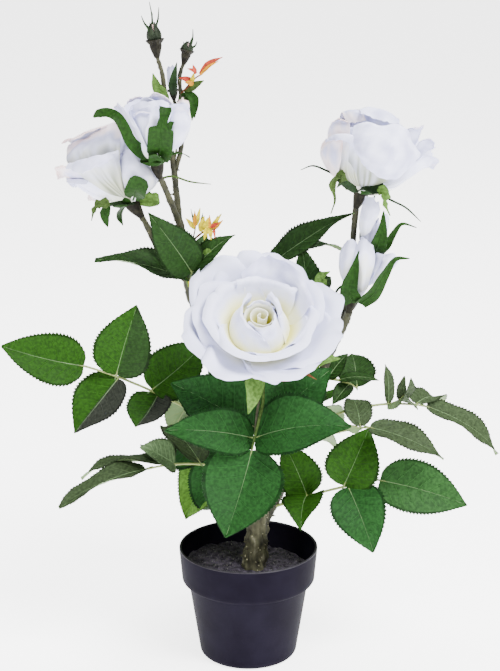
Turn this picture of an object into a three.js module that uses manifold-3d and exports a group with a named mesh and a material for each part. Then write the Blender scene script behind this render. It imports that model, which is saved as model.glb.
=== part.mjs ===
// A potted artificial rose bush: a plastic pot with a hard gritty fill, one short trunk, thin limbs,
// compound leaves on stalks, four large white roses and five buds.
// Millimetres, +Z up, +X to the right, -Y to the front. The origin is the centre of the pot's underside.
import * as THREE from 'three';
import { mergeVertices } from 'three/addons/utils/BufferGeometryUtils.js';
import Module from 'manifold-3d';

const wasm = await Module();
wasm.setup();

// ---- driving dimensions -------------------------------------------------------------------------

const GAP = 0.3; // clearance between two pieces that meet

const POT_HEIGHT = 91;
const POT_WALL = 1.7;
const POT_FLOOR = 2.4;
const FOOT_RADIUS = 34; // flat underside, inside the rounded lower corner
const FOOT_CORNER = 5;
const BODY_TOP = [47.6, 61]; // radius, height
const COLLAR_FOOT = [53, 67];
const COLLAR_TOP = [55, POT_HEIGHT - 1.5];
const POT_SIDES = 24;
const SHOULDER = [3.4, 2.4]; // how far out and up the body steps to the collar
const LIP = [[0.3, 0.4], [0.8, 0]]; // the rounded lip: how far inside the collar's edge and below the top
const CORNER_STEPS = 3;
const WALL_STEP = 0.6; // the inside's corners lie this much higher than the outside's

// The inside of the pot's wall, from the collar down to the floor: radius, height.
const INNER_WALL = [
  [COLLAR_FOOT[0] - POT_WALL, COLLAR_FOOT[1] + WALL_STEP],
  [BODY_TOP[0] - POT_WALL, BODY_TOP[1] + WALL_STEP],
  [FOOT_RADIUS + FOOT_CORNER - POT_WALL, FOOT_CORNER + WALL_STEP],
  [FOOT_RADIUS, POT_FLOOR],
];

const FILL_LEVEL = 72;
const FILL_TILT = 4; // the fill lies this much higher at the left wall and lower at the right
const FILL_RIPPLE = { height: 1, across: 5, along: 6 };
const FILL_BRIM = { clearance: 0.5, rise: 1 }; // at the pot's wall
const FILL_RINGS = [0.78, 0.5, 0.28]; // as shares of the brim's radius

const TRUNK_SIDES = 10;
const STEM_SIDES = 6;
const STEPS_PER_SPAN = 2; // of a limb, between two of the points it runs through
const BLADE_THICKNESS = 1.6;
const BLADE_FOLD = 12 * THREE.MathUtils.DEG2RAD; // each half of a leaflet rises this much from its midrib
const BLADE_EDGE = 0.4; // a leaflet's thickness at its narrow ends, as a share of its thickest
// Half width of a leaflet along its length, as a share of its widest.
const BLADE_OUTLINE = [[0, 0.05], [0.13, 0.72], [0.4, 1], [0.76, 0.66], [1, 0.03]];
const STALK_SIDES = 3;
const STALK_STEPS = 3;
const STALK_RADIUS = [1.3, 0.8]; // of a leaf stalk, at its foot and at its end

// Limbs: the points that each runs through, and its radius at both ends. Each starts inside the limb
// that carries it, and is cut clear of it.
const LIMBS = [
  {
    name: 'trunk', sides: TRUNK_SIDES, radius: [10.5, 7.5],
    through: [[4, 0, 66], [5, 0, 78], [7, 0, 104], [9, 0, 128]],
  },
  {
    name: 'stem_centre', radius: [4.4, 2.6],
    through: [[9, -1, 116], [9, -6, 170], [8, -12, 234], [8, -15, 262]],
  },
  {
    name: 'stem_left_low', radius: [4.4, 3.4],
    through: [[4, 2, 110], [-4, 6, 150], [-18, 10, 209], [-34, 12, 262], [-46, 10, 298]],
  },
  {
    name: 'stem_left_mid', radius: [3.2, 2.9],
    through: [[-45, 10, 294], [-48, 8, 315], [-49, 6, 335], [-52, 5, 354]],
  },
  {
    name: 'stem_left_rose', radius: [2.4, 2.2],
    through: [[-46, 10, 304], [-65, 6, 325], [-77, 2, 351], [-81, 0, 359]],
  },
  {
    name: 'stem_upper_rose', radius: [2.5, 2.2],
    through: [[-50, 6, 344], [-58, -4, 370], [-66, -15, 393]],
  },
  {
    name: 'stem_bud_tall', radius: [2.6, 1.5],
    through: [[-52, 5, 350], [-56, 8, 392], [-61, 11, 430], [-64, 13, 463], [-68, 14, 477]],
  },
  {
    name: 'stem_bud_short', radius: [1.9, 1.4],
    through: [[-56, 8, 388], [-50, 10, 412], [-50, 12, 442], [-51, 13, 463], [-48, 14, 472]],
  },
  {
    name: 'stem_bud_back', radius: [1.5, 1.3],
    through: [[-50, 12, 424], [-53, 17, 434], [-56, 20, 444]],
  },
  {
    name: 'stem_right', radius: [4, 2.8],
    through: [[9, 0, 104], [28, 5, 142], [48, 9, 205], [64, 8, 249], [75, 2, 276], [77, -3, 285]],
  },
  {
    name: 'stem_right_rose', radius: [2.6, 2.3],
    through: [[72, 5, 266], [77, 11, 300], [80, 10, 339], [82, 10, 365]],
  },
  {
    name: 'stem_bud_side', radius: [1.8, 1.6],
    through: [[77, 11, 302], [87, 12, 311], [94, 12, 320]],
  },
];

// Blooms and buds: the foot of each hip, the tip of its axis, and its widest radius.
const BLOOMS = [
  { name: 'rose_front', form: 'open', foot: [8, -15, 262], tip: [11, -60, 308], radius: 55, lobes: 5 },
  { name: 'rose_left', form: 'cup', foot: [-81, 0, 359], tip: [-121, 4, 411], radius: 36, lobes: 4 },
  { name: 'rose_upper', form: 'cup', foot: [-66, -15, 392], tip: [-75, -32, 447], radius: 30, lobes: 3 },
  { name: 'rose_right', form: 'cup', foot: [82, 10, 364], tip: [104, 0, 431], radius: 40, lobes: 4 },
  { name: 'bud_low_right', form: 'bud', foot: [77, -3, 285], tip: [92, -9, 343], radius: 17, lobes: 3 },
  { name: 'bud_side_right', form: 'bud', foot: [94, 12, 320], tip: [92, 9, 367], radius: 11, lobes: 3 },
  { name: 'bud_back_left', form: 'bud', foot: [-56, 20, 444], tip: [-58, 22, 468], radius: 9, lobes: 3 },
  { name: 'bud_tall', form: 'bud', foot: [-68, 14, 477], tip: [-73, 15, 517], radius: 6.5, lobes: 3 },
  { name: 'bud_short', form: 'bud', foot: [-48, 14, 472], tip: [-42, 15, 497], radius: 5.5, lobes: 3 },
];

// Profiles of the blooms, from the foot of the hip round to the heart: place along the axis, as a share
// of its length, and radius, as a share of the widest.
const FORMS = {
  open: [[0, 0], [0, 0.06], [0.12, 0.11], [0.26, 0.12], [0.44, 0.7], [0.66, 1], [0.82, 0.98], [0.78, 0.78],
    [0.68, 0.5], [0.78, 0.32], [0.97, 0.24], [1, 0]],
  cup: [[0, 0], [0, 0.09], [0.1, 0.15], [0.22, 0.17], [0.4, 0.78], [0.64, 1], [0.88, 0.96], [0.98, 0.76],
    [0.92, 0.45], [1, 0]],
  bud: [[0, 0], [0, 0.22], [0.12, 0.4], [0.26, 0.44], [0.36, 0.75], [0.55, 1], [0.78, 0.78], [0.94, 0.34],
    [1, 0]],
};
const BLOOM_SIDES = { open: 16, cup: 13, bud: 8 };
const CLOSED_BUDS = ['bud_tall', 'bud_short'];
// The outer petals stand out as lobes: where along the axis they begin and are full, and how far they
// swell the bloom, once per lobe and once more to make them uneven.
const LOBE_START = 0.25;
const LOBE_FULL = 0.6;
const LOBE_SWELL = 0.05;
const UNEVEN_SWELL = 0.03;

// Leaf sprays: each is a stalk from a limb, arched by its rise, with leaflets turned towards its face.
// A leaflet has its place along the stalk and its tip, then its width and its bend, both over its length,
// and where it has one its turn about its midrib in degrees.
const SPRAYS = [
  { name: 'leaves_left_high', from: [-10, 9, 178], to: [-125, -10, 243], rise: 6, face: [0.1, -0.85, 0.5],
    leaflets: [
      [1, [-187, -22, 263], { width: 0.56, bend: -0.05 }],
      [0.8, [-85, -8, 290], { width: 0.72, bend: -0.02 }],
      [0.84, [-133, -30, 196], { width: 0.75, bend: -0.03, turn: 10 }],
      [0.57, [-33, 4, 258], { width: 0.76, bend: -0.08 }],
      [0.6, [-91, -30, 202], { width: 0.8, bend: -0.1, turn: 20 }],
    ] },
  { name: 'leaves_left_low', from: [-4, 5, 150], to: [-78, -20, 163], rise: 6, face: [0, -0.1, 0.98],
    leaflets: [
      [1, [-145, -45, 141], { width: 0.5, bend: 0.05 }],
      [0.8, [-138, 8, 142], { width: 0.45, bend: 0.08 }],
      [0.8, [-84, 30, 164], { width: 0.75, bend: 0.1, turn: -60 }],
      [0.45, [-80, -60, 183], { width: 0.55, bend: 0.05 }],
      [0.45, [-71, 45, 177], { width: 0.6, bend: 0.1, turn: -40 }],
    ] },
  { name: 'leaves_left_hanging', from: [-4, 5, 150], to: [-32, 40, 158], rise: 8, face: [0, -0.8, 0.6],
    leaflets: [
      [1, [-52, 48, 93], { width: 0.55, bend: -0.05 }],
      [0.7, [-70, 85, 136], { width: 0.6, bend: 0.1 }],
      [0.7, [-28, 62, 92], { width: 0.6, bend: 0.1 }],
    ] },
  { name: 'leaves_front', from: [8, -9, 192], to: [3, -46, 184], rise: 4, face: [0, -0.75, 0.65],
    leaflets: [
      [1, [-17, -84, 133], { width: 0.9, bend: -0.06 }],
      [0.7, [-62, -52, 206], { width: 0.52, bend: 0.1, turn: -10 }],
      [0.7, [77, -52, 209], { width: 0.7, bend: 0.1, turn: -8 }],
      [0.12, [-59, -14, 228], { width: 0.62, bend: 0.12, turn: -10 }],
      [0.12, [61, -16, 239], { width: 0.6, bend: 0.1, turn: 10 }],
    ] },
  { name: 'leaves_right_high', from: [43, 9, 185], to: [139, 20, 201], rise: 9, face: [0, -0.25, 0.95],
    leaflets: [
      [1, [201, 28, 159], { width: 0.4, bend: 0.08, turn: 10 }],
      [0.93, [157, 68, 187], { width: 0.5, bend: 0.1 }],
      [0.93, [119, -8, 233], { width: 0.6, bend: 0.1 }],
      [0.7, [126, -12, 233], { width: 0.5, bend: 0.1 }],
      [0.7, [109, 38, 230], { width: 0.42, bend: 0.1 }],
    ] },
  { name: 'leaves_right_middle', from: [37, 8, 168], to: [92, -20, 197], rise: 4, face: [0, -0.25, 0.95],
    leaflets: [
      [1, [149, -38, 178], { width: 0.48, bend: 0.06, turn: 10 }],
      [0.9, [62, -30, 214], { width: 0.45, bend: 0.1 }],
      [0.9, [82, 25, 206], { width: 0.5, bend: 0.1 }],
    ] },
  { name: 'leaves_right_low', from: [18, 2, 122], to: [101, -15, 152], rise: 2, face: [0, -0.85, 0.5],
    leaflets: [
      [1, [170, -25, 135], { width: 0.6, bend: 0.08 }],
      [0.68, [100, -2, 189], { width: 0.82, bend: 0.1 }],
      [0.72, [97, -38, 101], { width: 0.78, bend: 0.12 }],
      [0.34, [27, 0, 178], { width: 0.7, bend: 0.1 }],
      [0.34, [40, -50, 126], { width: 0.7, bend: 0.12, turn: 20 }],
    ] },
  { name: 'leaves_left_top', from: [-46, 9, 302], to: [-43, 2, 314], rise: 0, face: [0, -0.8, 0.6],
    leaflets: [
      [1, [-73, -25, 365], { width: 0.5, bend: 0.05, turn: -15 }],
      [0.4, [-115, -10, 329], { width: 0.45, bend: 0.05, turn: 40 }],
      [0.8, [-11, -2, 345], { width: 0.42, bend: 0.1, turn: -20 }],
      [0.9, [-32, 22, 341], { width: 0.4, bend: 0.1 }],
    ] },
  { name: 'leaves_right_top', from: [66, 8, 250], to: [13, 26, 311], rise: 6, face: [0, -0.6, 0.8],
    leaflets: [
      [1, [79, 6, 361], { width: 0.28, bend: 0.02 }],
      [0.97, [74, 40, 325], { width: 0.25, bend: 0.16, turn: -30 }],
      [0.6, [38, 18, 332], { width: 0.4, bend: 0.1 }],
      [0.45, [65, 44, 301], { width: 0.5, bend: 0.1 }],
    ] },
  { name: 'leaves_right_inner', from: [56, 10, 226], to: [86, 26, 214], rise: 3, face: [0, -0.6, 0.8],
    leaflets: [
      [1, [83, 48, 236], { width: 1.0, bend: 0.1 }],
      [0.9, [111, 26, 212], { width: 0.3, bend: 0.2 }],
      [0.8, [66, 8, 206], { width: 0.6, bend: 0.1 }],
      [0.2, [78, 20, 244], { width: 0.6, bend: 0.1 }],
    ] },
  { name: 'leaves_back_low_left', from: [2, 7, 122], to: [-16, 74, 150], rise: 4, face: [0, 0.2, 0.97],
    leaflets: [
      [1, [-23, 142, 102], { width: 0.6, bend: 0.1 }],
      [0.75, [-51, 96, 126], { width: 0.65, bend: 0.1 }],
      [0.75, [7, 112, 105], { width: 0.65, bend: 0.1 }],
      [0.42, [-43, 52, 118], { width: 0.7, bend: 0.1 }],
      [0.42, [2, 78, 99], { width: 0.7, bend: 0.1 }],
    ] },
  { name: 'leaves_back_low_right', from: [14, 6, 128], to: [44, 70, 160], rise: 4, face: [0, 0.2, 0.97],
    leaflets: [
      [1, [49, 138, 138], { width: 0.6, bend: 0.1 }],
      [0.75, [17, 112, 144], { width: 0.65, bend: 0.1 }],
      [0.75, [74, 92, 142], { width: 0.65, bend: 0.1 }],
      [0.42, [20, 64, 117], { width: 0.7, bend: 0.1 }],
      [0.42, [55, 48, 133], { width: 0.7, bend: 0.1 }],
    ] },
  { name: 'leaves_back_middle', from: [8, -8, 180], to: [4, 56, 222], rise: 6, face: [0, 0.3, 0.95],
    leaflets: [
      [1, [0, 118, 222], { width: 0.6, bend: 0.1 }],
      [0.75, [-33, 88, 208], { width: 0.65, bend: 0.1 }],
      [0.75, [33, 92, 210], { width: 0.65, bend: 0.1 }],
      [0.42, [-18, 48, 188], { width: 0.7, bend: 0.1 }],
      [0.42, [29, 52, 189], { width: 0.7, bend: 0.1 }],
    ] },
  { name: 'leaves_back_high_left', from: [-34, 12, 262], to: [-22, 62, 290], rise: 5, face: [0, 0.4, 0.9],
    leaflets: [
      [1, [-13, 104, 282], { width: 0.6, bend: 0.1 }],
      [0.7, [-39, 72, 269], { width: 0.65, bend: 0.1 }],
      [0.7, [6, 92, 255], { width: 0.65, bend: 0.1 }],
    ] },
  { name: 'leaves_back_high_right', from: [60, 8, 238], to: [50, 62, 262], rise: 5, face: [0, 0.4, 0.9],
    leaflets: [
      [1, [40, 108, 273], { width: 0.6, bend: 0.1 }],
      [0.7, [67, 80, 253], { width: 0.65, bend: 0.1 }],
      [0.7, [15, 88, 242], { width: 0.65, bend: 0.1 }],
      [0.35, [19, 60, 227], { width: 0.6, bend: 0.1 }],
    ] },
  { name: 'leaves_back_left', from: [-18, 10, 209], to: [-44, 62, 198], rise: 5, face: [0, 0.3, 0.95],
    leaflets: [
      [1, [-51, 108, 168], { width: 0.6, bend: 0.1 }],
      [0.7, [-63, 66, 158], { width: 0.65, bend: 0.1 }],
      [0.7, [-28, 92, 187], { width: 0.65, bend: 0.1 }],
    ] },
  { name: 'leaves_back_right', from: [40, 7, 178], to: [58, 60, 190], rise: 5, face: [0, 0.3, 0.95],
    leaflets: [
      [1, [59, 112, 178], { width: 0.6, bend: 0.1 }],
      [0.7, [43, 78, 206], { width: 0.65, bend: 0.1 }],
      [0.7, [76, 70, 162], { width: 0.65, bend: 0.1 }],
    ] },
];

const COLOURS = {
  pot: { color: 0x3a3642, roughness: 0.5 },
  fill: { color: 0x1d1c1d, roughness: 0.95 },
  bark: { color: 0x5a5540, roughness: 0.85 },
  stem: { color: 0x4f5033, roughness: 0.7 },
  leaf: { color: 0x3c7a35, roughness: 0.6 },
  petal: { color: 0xf2f0f4, roughness: 0.7 },
  bud: { color: 0x454b38, roughness: 0.6 },
};

// ---- solids -------------------------------------------------------------------------------------

const vector = (point) => new THREE.Vector3(...point);

// Makes a solid from a closed geometry, leaving out triangles that close up at a pole.
function solidOf(geometry) {
  geometry.deleteAttribute('normal');
  geometry.deleteAttribute('uv');
  const merged = mergeVertices(geometry, 1e-4);
  const corners = [];
  for (let i = 0; i < merged.index.count; i += 3) {
    const [a, b, c] = [0, 1, 2].map((k) => merged.index.getX(i + k));
    if (a !== b && b !== c && c !== a) corners.push(a, b, c);
  }
  const vertProperties = Float32Array.from(merged.attributes.position.array);
  const triVerts = Uint32Array.from(corners);
  return new wasm.Manifold(new wasm.Mesh({ numProp: 3, vertProperties, triVerts }));
}

function geometryOf(body) {
  const mesh = body.getMesh();
  const geometry = new THREE.BufferGeometry();
  geometry.setAttribute('position', new THREE.BufferAttribute(mesh.vertProperties, 3));
  geometry.setIndex(new THREE.BufferAttribute(mesh.triVerts, 1));
  geometry.computeVertexNormals();
  return geometry;
}

// Joins rings of equally many points into one closed solid, each end closed by a fan to its middle.
function loft(rings) {
  const count = rings[0].length;
  const points = rings.flat();
  const triangles = [];
  for (let i = 0; i + 1 < rings.length; i += 1) {
    for (let k = 0; k < count; k += 1) {
      const a = i * count + k;
      const b = i * count + ((k + 1) % count);
      triangles.push(a, b, b + count, a, b + count, a + count);
    }
  }
  const middle = (ring) => ring.reduce((sum, p) => sum.add(p), new THREE.Vector3()).divideScalar(count);
  const foot = points.push(middle(rings[0])) - 1;
  const head = points.push(middle(rings.at(-1))) - 1;
  const last = (rings.length - 1) * count;
  for (let k = 0; k < count; k += 1) {
    const next = (k + 1) % count;
    triangles.push(foot, next, k, head, last + k, last + next);
  }
  const geometry = new THREE.BufferGeometry().setFromPoints(points);
  geometry.setIndex(triangles);
  return solidOf(geometry);
}

// A tapering round limb along a curve. grow makes it that much thicker and longer.
function limb(curve, radius, sides, steps, grow) {
  const frames = curve.computeFrenetFrames(steps, false);
  const rings = [];
  for (let i = 0; i <= steps; i += 1) {
    const share = i / steps;
    const r = THREE.MathUtils.lerp(radius[0], radius[1], share) + grow;
    const centre = curve.getPointAt(share);
    if (i === 0) centre.addScaledVector(frames.tangents[i], -grow);
    if (i === steps) centre.addScaledVector(frames.tangents[i], grow);
    rings.push(Array.from({ length: sides }, (_, k) => {
      const angle = (2 * Math.PI * k) / sides;
      return centre.clone()
        .addScaledVector(frames.normals[i], r * Math.cos(angle))
        .addScaledVector(frames.binormals[i], r * Math.sin(angle));
    }));
  }
  return loft(rings);
}

function limbOf({ through, radius, sides = STEM_SIDES }, grow) {
  const curve = new THREE.CatmullRomCurve3(through.map(vector));
  return limb(curve, radius, sides, (through.length - 1) * STEPS_PER_SPAN, grow);
}

// One leaflet: a thin folded blade from its foot to its tip, its upper side towards face.
function blade(foot, tip, face, { width, bend, turn = 0 }, grow) {
  const along = tip.clone().sub(foot);
  const length = along.length();
  along.normalize();
  const up = face.clone().addScaledVector(along, -face.dot(along)).normalize();
  up.applyAxisAngle(along, turn * THREE.MathUtils.DEG2RAD);
  const across = new THREE.Vector3().crossVectors(along, up);
  const rings = BLADE_OUTLINE.map(([place, share]) => {
    const middle = foot.clone()
      .addScaledVector(along, length * place)
      .addScaledVector(up, 4 * bend * length * place * (1 - place));
    const half = (share * width * length) / 2 + grow;
    const thick = (BLADE_THICKNESS / 2) * THREE.MathUtils.lerp(BLADE_EDGE, 1, share) + grow;
    const edge = (side) => middle.clone()
      .addScaledVector(across, side * half * Math.cos(BLADE_FOLD))
      .addScaledVector(up, half * Math.sin(BLADE_FOLD));
    const below = middle.clone().addScaledVector(up, -thick);
    const above = middle.clone().addScaledVector(up, thick);
    return [edge(1), below, edge(-1), above];
  });
  return loft(rings);
}

function sprayOf({ from, to, rise, face, leaflets }, grow) {
  const foot = vector(from);
  const end = vector(to);
  const arch = foot.clone().lerp(end, 0.5).add(new THREE.Vector3(0, 0, 2 * rise));
  const stalk = new THREE.QuadraticBezierCurve3(foot, arch, end);
  let spray = limb(stalk, STALK_RADIUS, STALK_SIDES, STALK_STEPS, grow);
  for (const [place, tip, shape] of leaflets) {
    spray = spray.add(blade(stalk.getPoint(place), vector(tip), vector(face).normalize(), shape, grow));
  }
  return spray;
}

// A rose or bud: its profile turned about the axis, with the outer petals standing out as lobes.
function bloomOf({ form, foot, tip, radius, lobes }, grow) {
  const axis = vector(tip).sub(vector(foot));
  const length = axis.length();
  const profile = FORMS[form].map(([along, share], i) => {
    const end = i < 2 ? -grow : grow;
    return new THREE.Vector2(share && share * radius + grow, along * length + end);
  });
  const geometry = new THREE.LatheGeometry(profile, BLOOM_SIDES[form]);
  const position = geometry.attributes.position;
  for (let i = 0; i < position.count; i += 1) {
    const [x, y, z] = [position.getX(i), position.getY(i), position.getZ(i)];
    const angle = Math.atan2(x, z);
    const reach = THREE.MathUtils.smoothstep(y / length, LOBE_START, LOBE_FULL);
    const lobe = LOBE_SWELL * Math.cos(lobes * angle + lobes);
    const uneven = UNEVEN_SWELL * Math.cos((lobes + 2) * angle);
    const swell = 1 + reach * (lobe + uneven);
    position.setXYZ(i, x * swell, y, z * swell);
  }
  const turn = new THREE.Quaternion();
  geometry.applyQuaternion(turn.setFromUnitVectors(new THREE.Vector3(0, 1, 0), axis.clone().normalize()));
  geometry.translate(...foot);
  return solidOf(geometry);
}

// The pot: a thin cup with a rounded foot, a slightly flared body, and a wider collar at the rim.
function potOf() {
  const corner = Array.from({ length: CORNER_STEPS + 1 }, (_, i) => {
    const angle = (Math.PI / 2) * (i / CORNER_STEPS);
    return [FOOT_RADIUS + FOOT_CORNER * Math.sin(angle), FOOT_CORNER * (1 - Math.cos(angle))];
  });
  const lip = LIP.map(([inward, below]) => [COLLAR_TOP[0] - inward, POT_HEIGHT - below]);
  const shoulder = [BODY_TOP[0] + SHOULDER[0], BODY_TOP[1] + SHOULDER[1]];
  const outside = [[0, 0], ...corner, BODY_TOP, shoulder, COLLAR_FOOT, COLLAR_TOP, ...lip];
  const inside = [[COLLAR_TOP[0] - POT_WALL, POT_HEIGHT - 1], ...INNER_WALL, [0, POT_FLOOR]];
  const profile = [...outside, ...inside].map(([r, z]) => new THREE.Vector2(r, z));
  return solidOf(new THREE.LatheGeometry(profile, POT_SIDES).rotateX(Math.PI / 2));
}

// The fill: it follows the pot's inside at the clearance, under a tilted and rippled top.
function fillOf() {
  const side = INNER_WALL.map(([r, z]) => [r - GAP, z + GAP]).reverse();
  const brim = COLLAR_FOOT[0] - POT_WALL - FILL_BRIM.clearance;
  const rings = FILL_RINGS.map((share) => [brim * share, FILL_LEVEL]);
  const top = [[brim, FILL_LEVEL + FILL_BRIM.rise], ...rings, [0, FILL_LEVEL]];
  const profile = [[0, POT_FLOOR + GAP], ...side, ...top].map(([r, z]) => new THREE.Vector2(r, z));
  const geometry = new THREE.LatheGeometry(profile, POT_SIDES / 2).rotateX(Math.PI / 2);
  const position = geometry.attributes.position;
  for (let i = 0; i < position.count; i += 1) {
    const [x, y, z] = [position.getX(i), position.getY(i), position.getZ(i)];
    const waves = Math.sin(x / FILL_RIPPLE.across + 1) * Math.cos(y / FILL_RIPPLE.along);
    const ripple = FILL_RIPPLE.height * waves;
    if (z >= FILL_LEVEL) position.setZ(i, z - (FILL_TILT * x) / brim + ripple);
  }
  return solidOf(geometry);
}

// ---- the plant ----------------------------------------------------------------------------------

const pieces = [
  ...LIMBS.map((row) => ({
    name: row.name,
    finish: row.name === 'trunk' ? 'bark' : 'stem',
    shape: (grow) => limbOf(row, grow),
  })),
  ...BLOOMS.map((row) => ({
    name: row.name,
    finish: CLOSED_BUDS.includes(row.name) ? 'bud' : 'petal',
    shape: (grow) => bloomOf(row, grow),
  })),
  ...SPRAYS.map((row) => ({ name: row.name, finish: 'leaf', shape: (grow) => sprayOf(row, grow) })),
  { name: 'pot_fill', finish: 'fill', shape: fillOf },
];

const within = (a, b, i) => a.min[i] - GAP < b.max[i];
const boxesMeet = (a, b) => [0, 1, 2].every((i) => within(a, b, i) && within(b, a, i));
const largest = (bodies) => bodies.reduce((a, b) => (b.volume() > a.volume() ? b : a));

function meshOf(name, finish, body) {
  const material = new THREE.MeshStandardMaterial({ ...COLOURS[finish], metalness: 0 });
  const mesh = new THREE.Mesh(geometryOf(body), material);
  mesh.name = name;
  return mesh;
}

const plant = new THREE.Group();
plant.add(meshOf('pot', 'pot', potOf()));

// Each piece is cut clear of those before it, which carry it or cross it.
const before = [];
for (const { name, finish, shape } of pieces) {
  let body = shape(0);
  for (const other of before) {
    if (boxesMeet(body.boundingBox(), other.box)) body = body.subtract(other.fat);
  }
  plant.add(meshOf(name, finish, largest(body.decompose())));
  const fat = shape(GAP);
  before.push({ fat, box: fat.boundingBox() });
}

export default plant;
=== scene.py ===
"""A potted artificial rose bush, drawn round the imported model: pot and fill, barked trunk, thin limbs,
leaf sprays, four white roses and five buds. Tables are in millimetres, in the model's own frame, where they
don't say otherwise, and Blender's meshes are in metres."""
import math

import bpy
import numpy as np
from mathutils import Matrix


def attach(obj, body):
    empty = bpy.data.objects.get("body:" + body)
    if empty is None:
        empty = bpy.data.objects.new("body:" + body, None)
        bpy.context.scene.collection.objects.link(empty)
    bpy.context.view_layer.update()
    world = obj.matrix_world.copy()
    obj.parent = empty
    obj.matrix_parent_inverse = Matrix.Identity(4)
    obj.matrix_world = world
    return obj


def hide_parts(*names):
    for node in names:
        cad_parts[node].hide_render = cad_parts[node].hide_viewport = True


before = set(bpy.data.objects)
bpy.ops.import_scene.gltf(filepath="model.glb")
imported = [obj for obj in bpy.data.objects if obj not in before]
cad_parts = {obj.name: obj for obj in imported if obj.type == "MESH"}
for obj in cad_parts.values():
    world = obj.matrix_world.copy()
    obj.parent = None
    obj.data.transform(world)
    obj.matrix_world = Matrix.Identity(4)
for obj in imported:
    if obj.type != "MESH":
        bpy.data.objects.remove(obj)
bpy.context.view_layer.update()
MM = 0.001
UP = np.array([0.0, 0.0, 1.0])

# ---- camera --------------------------------------------------------------------------------------

CAMERA_PLACE = (0.0013, -1.300, 0.640)
CAMERA_PITCH = 16.1  # degrees below the horizon
CAMERA_LENS = 94.32
FILM = 36  # millimetres of film along the picture's longer side, as Blender's camera has it
PICTURE = (500, 671)  # pixels across and down


def add_camera():
    data = bpy.data.cameras.new("camera")
    data.lens = CAMERA_LENS
    data.clip_start = 0.05
    camera = bpy.data.objects.new("camera", data)
    camera.location = CAMERA_PLACE
    camera.rotation_euler = (math.radians(90 - CAMERA_PITCH), 0, 0)
    bpy.context.scene.collection.objects.link(camera)
    bpy.context.scene.camera = camera


def seen_at(across, down, depth):
    """The point, in millimetres, that shows at a pixel of the picture and whose y is depth."""
    pitch = math.radians(CAMERA_PITCH)
    ahead = np.array([0, math.cos(pitch), -math.sin(pitch)])
    above = np.array([0, math.sin(pitch), math.cos(pitch)])
    eye = np.array(CAMERA_PLACE) / MM
    pixels = CAMERA_LENS / FILM * max(PICTURE)
    ray = pixels * ahead + (PICTURE[1] / 2 - down) * above + np.array([across - PICTURE[0] / 2, 0, 0])
    return eye + ray * (depth - eye[1]) / ray[1]


# ---- the plant's plan, repeated from the model ---------------------------------------------------

POT_HEIGHT = 91
POT_WALL = 1.7
FOOT_RADIUS = 34
FOOT_CORNER = 5
BODY_TOP = (47.6, 61)  # radius, height
COLLAR_FOOT = (53, 67)
COLLAR_TOP = (55, 89.5)
FILL_LEVEL = 72
FILL_TILT = 4

# Each limb: the points it runs through, and its radius at both ends.
LIMBS = {
    "trunk": ([(4, 0, 66), (5, 0, 78), (7, 0, 104), (9, 0, 128)], 10.5, 7.5),
    "stem_centre": ([(9, -1, 116), (9, -6, 170), (8, -12, 234), (8, -15, 262)], 4.4, 2.6),
    "stem_left_low": (
        [(4, 2, 110), (-4, 6, 150), (-18, 10, 209), (-34, 12, 262), (-46, 10, 298)], 4.4, 3.4),
    "stem_left_mid": ([(-45, 10, 294), (-48, 8, 315), (-49, 6, 335), (-52, 5, 354)], 3.2, 2.9),
    "stem_left_rose": ([(-46, 10, 304), (-65, 6, 325), (-77, 2, 351), (-81, 0, 359)], 2.4, 2.2),
    "stem_upper_rose": ([(-50, 6, 344), (-58, -4, 370), (-66, -15, 393)], 2.5, 2.2),
    "stem_bud_tall": (
        [(-52, 5, 350), (-56, 8, 392), (-61, 11, 430), (-64, 13, 463), (-68, 14, 477)], 2.6, 1.5),
    "stem_bud_short": (
        [(-56, 8, 388), (-50, 10, 412), (-50, 12, 442), (-51, 13, 463), (-48, 14, 472)], 1.9, 1.4),
    "stem_bud_back": ([(-50, 12, 424), (-53, 17, 434), (-56, 20, 444)], 1.5, 1.3),
    "stem_right": (
        [(9, 0, 104), (28, 5, 142), (48, 9, 205), (64, 8, 249), (75, 2, 276), (77, -3, 285)], 4, 2.8),
    "stem_right_rose": ([(72, 5, 266), (77, 11, 300), (80, 10, 339), (82, 10, 365)], 2.6, 2.3),
    "stem_bud_side": ([(77, 11, 302), (87, 12, 311), (94, 12, 320)], 1.8, 1.6),
}

# Each bloom: the foot of its hip and the tip of its axis.
BLOOMS = {
    "rose_front": ((8, -15, 262), (11, -60, 308)),
    "rose_left": ((-81, 0, 359), (-121, 4, 411)),
    "rose_upper": ((-66, -15, 392), (-75, -32, 447)),
    "rose_right": ((82, 10, 364), (104, 0, 431)),
    "bud_low_right": ((77, -3, 285), (92, -9, 343)),
    "bud_side_right": ((94, 12, 320), (92, 9, 367)),
    "bud_back_left": ((-56, 20, 444), (-58, 22, 468)),
    "bud_tall": ((-68, 14, 477), (-73, 15, 517)),
    "bud_short": ((-48, 14, 472), (-42, 15, 497)),
}

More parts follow.
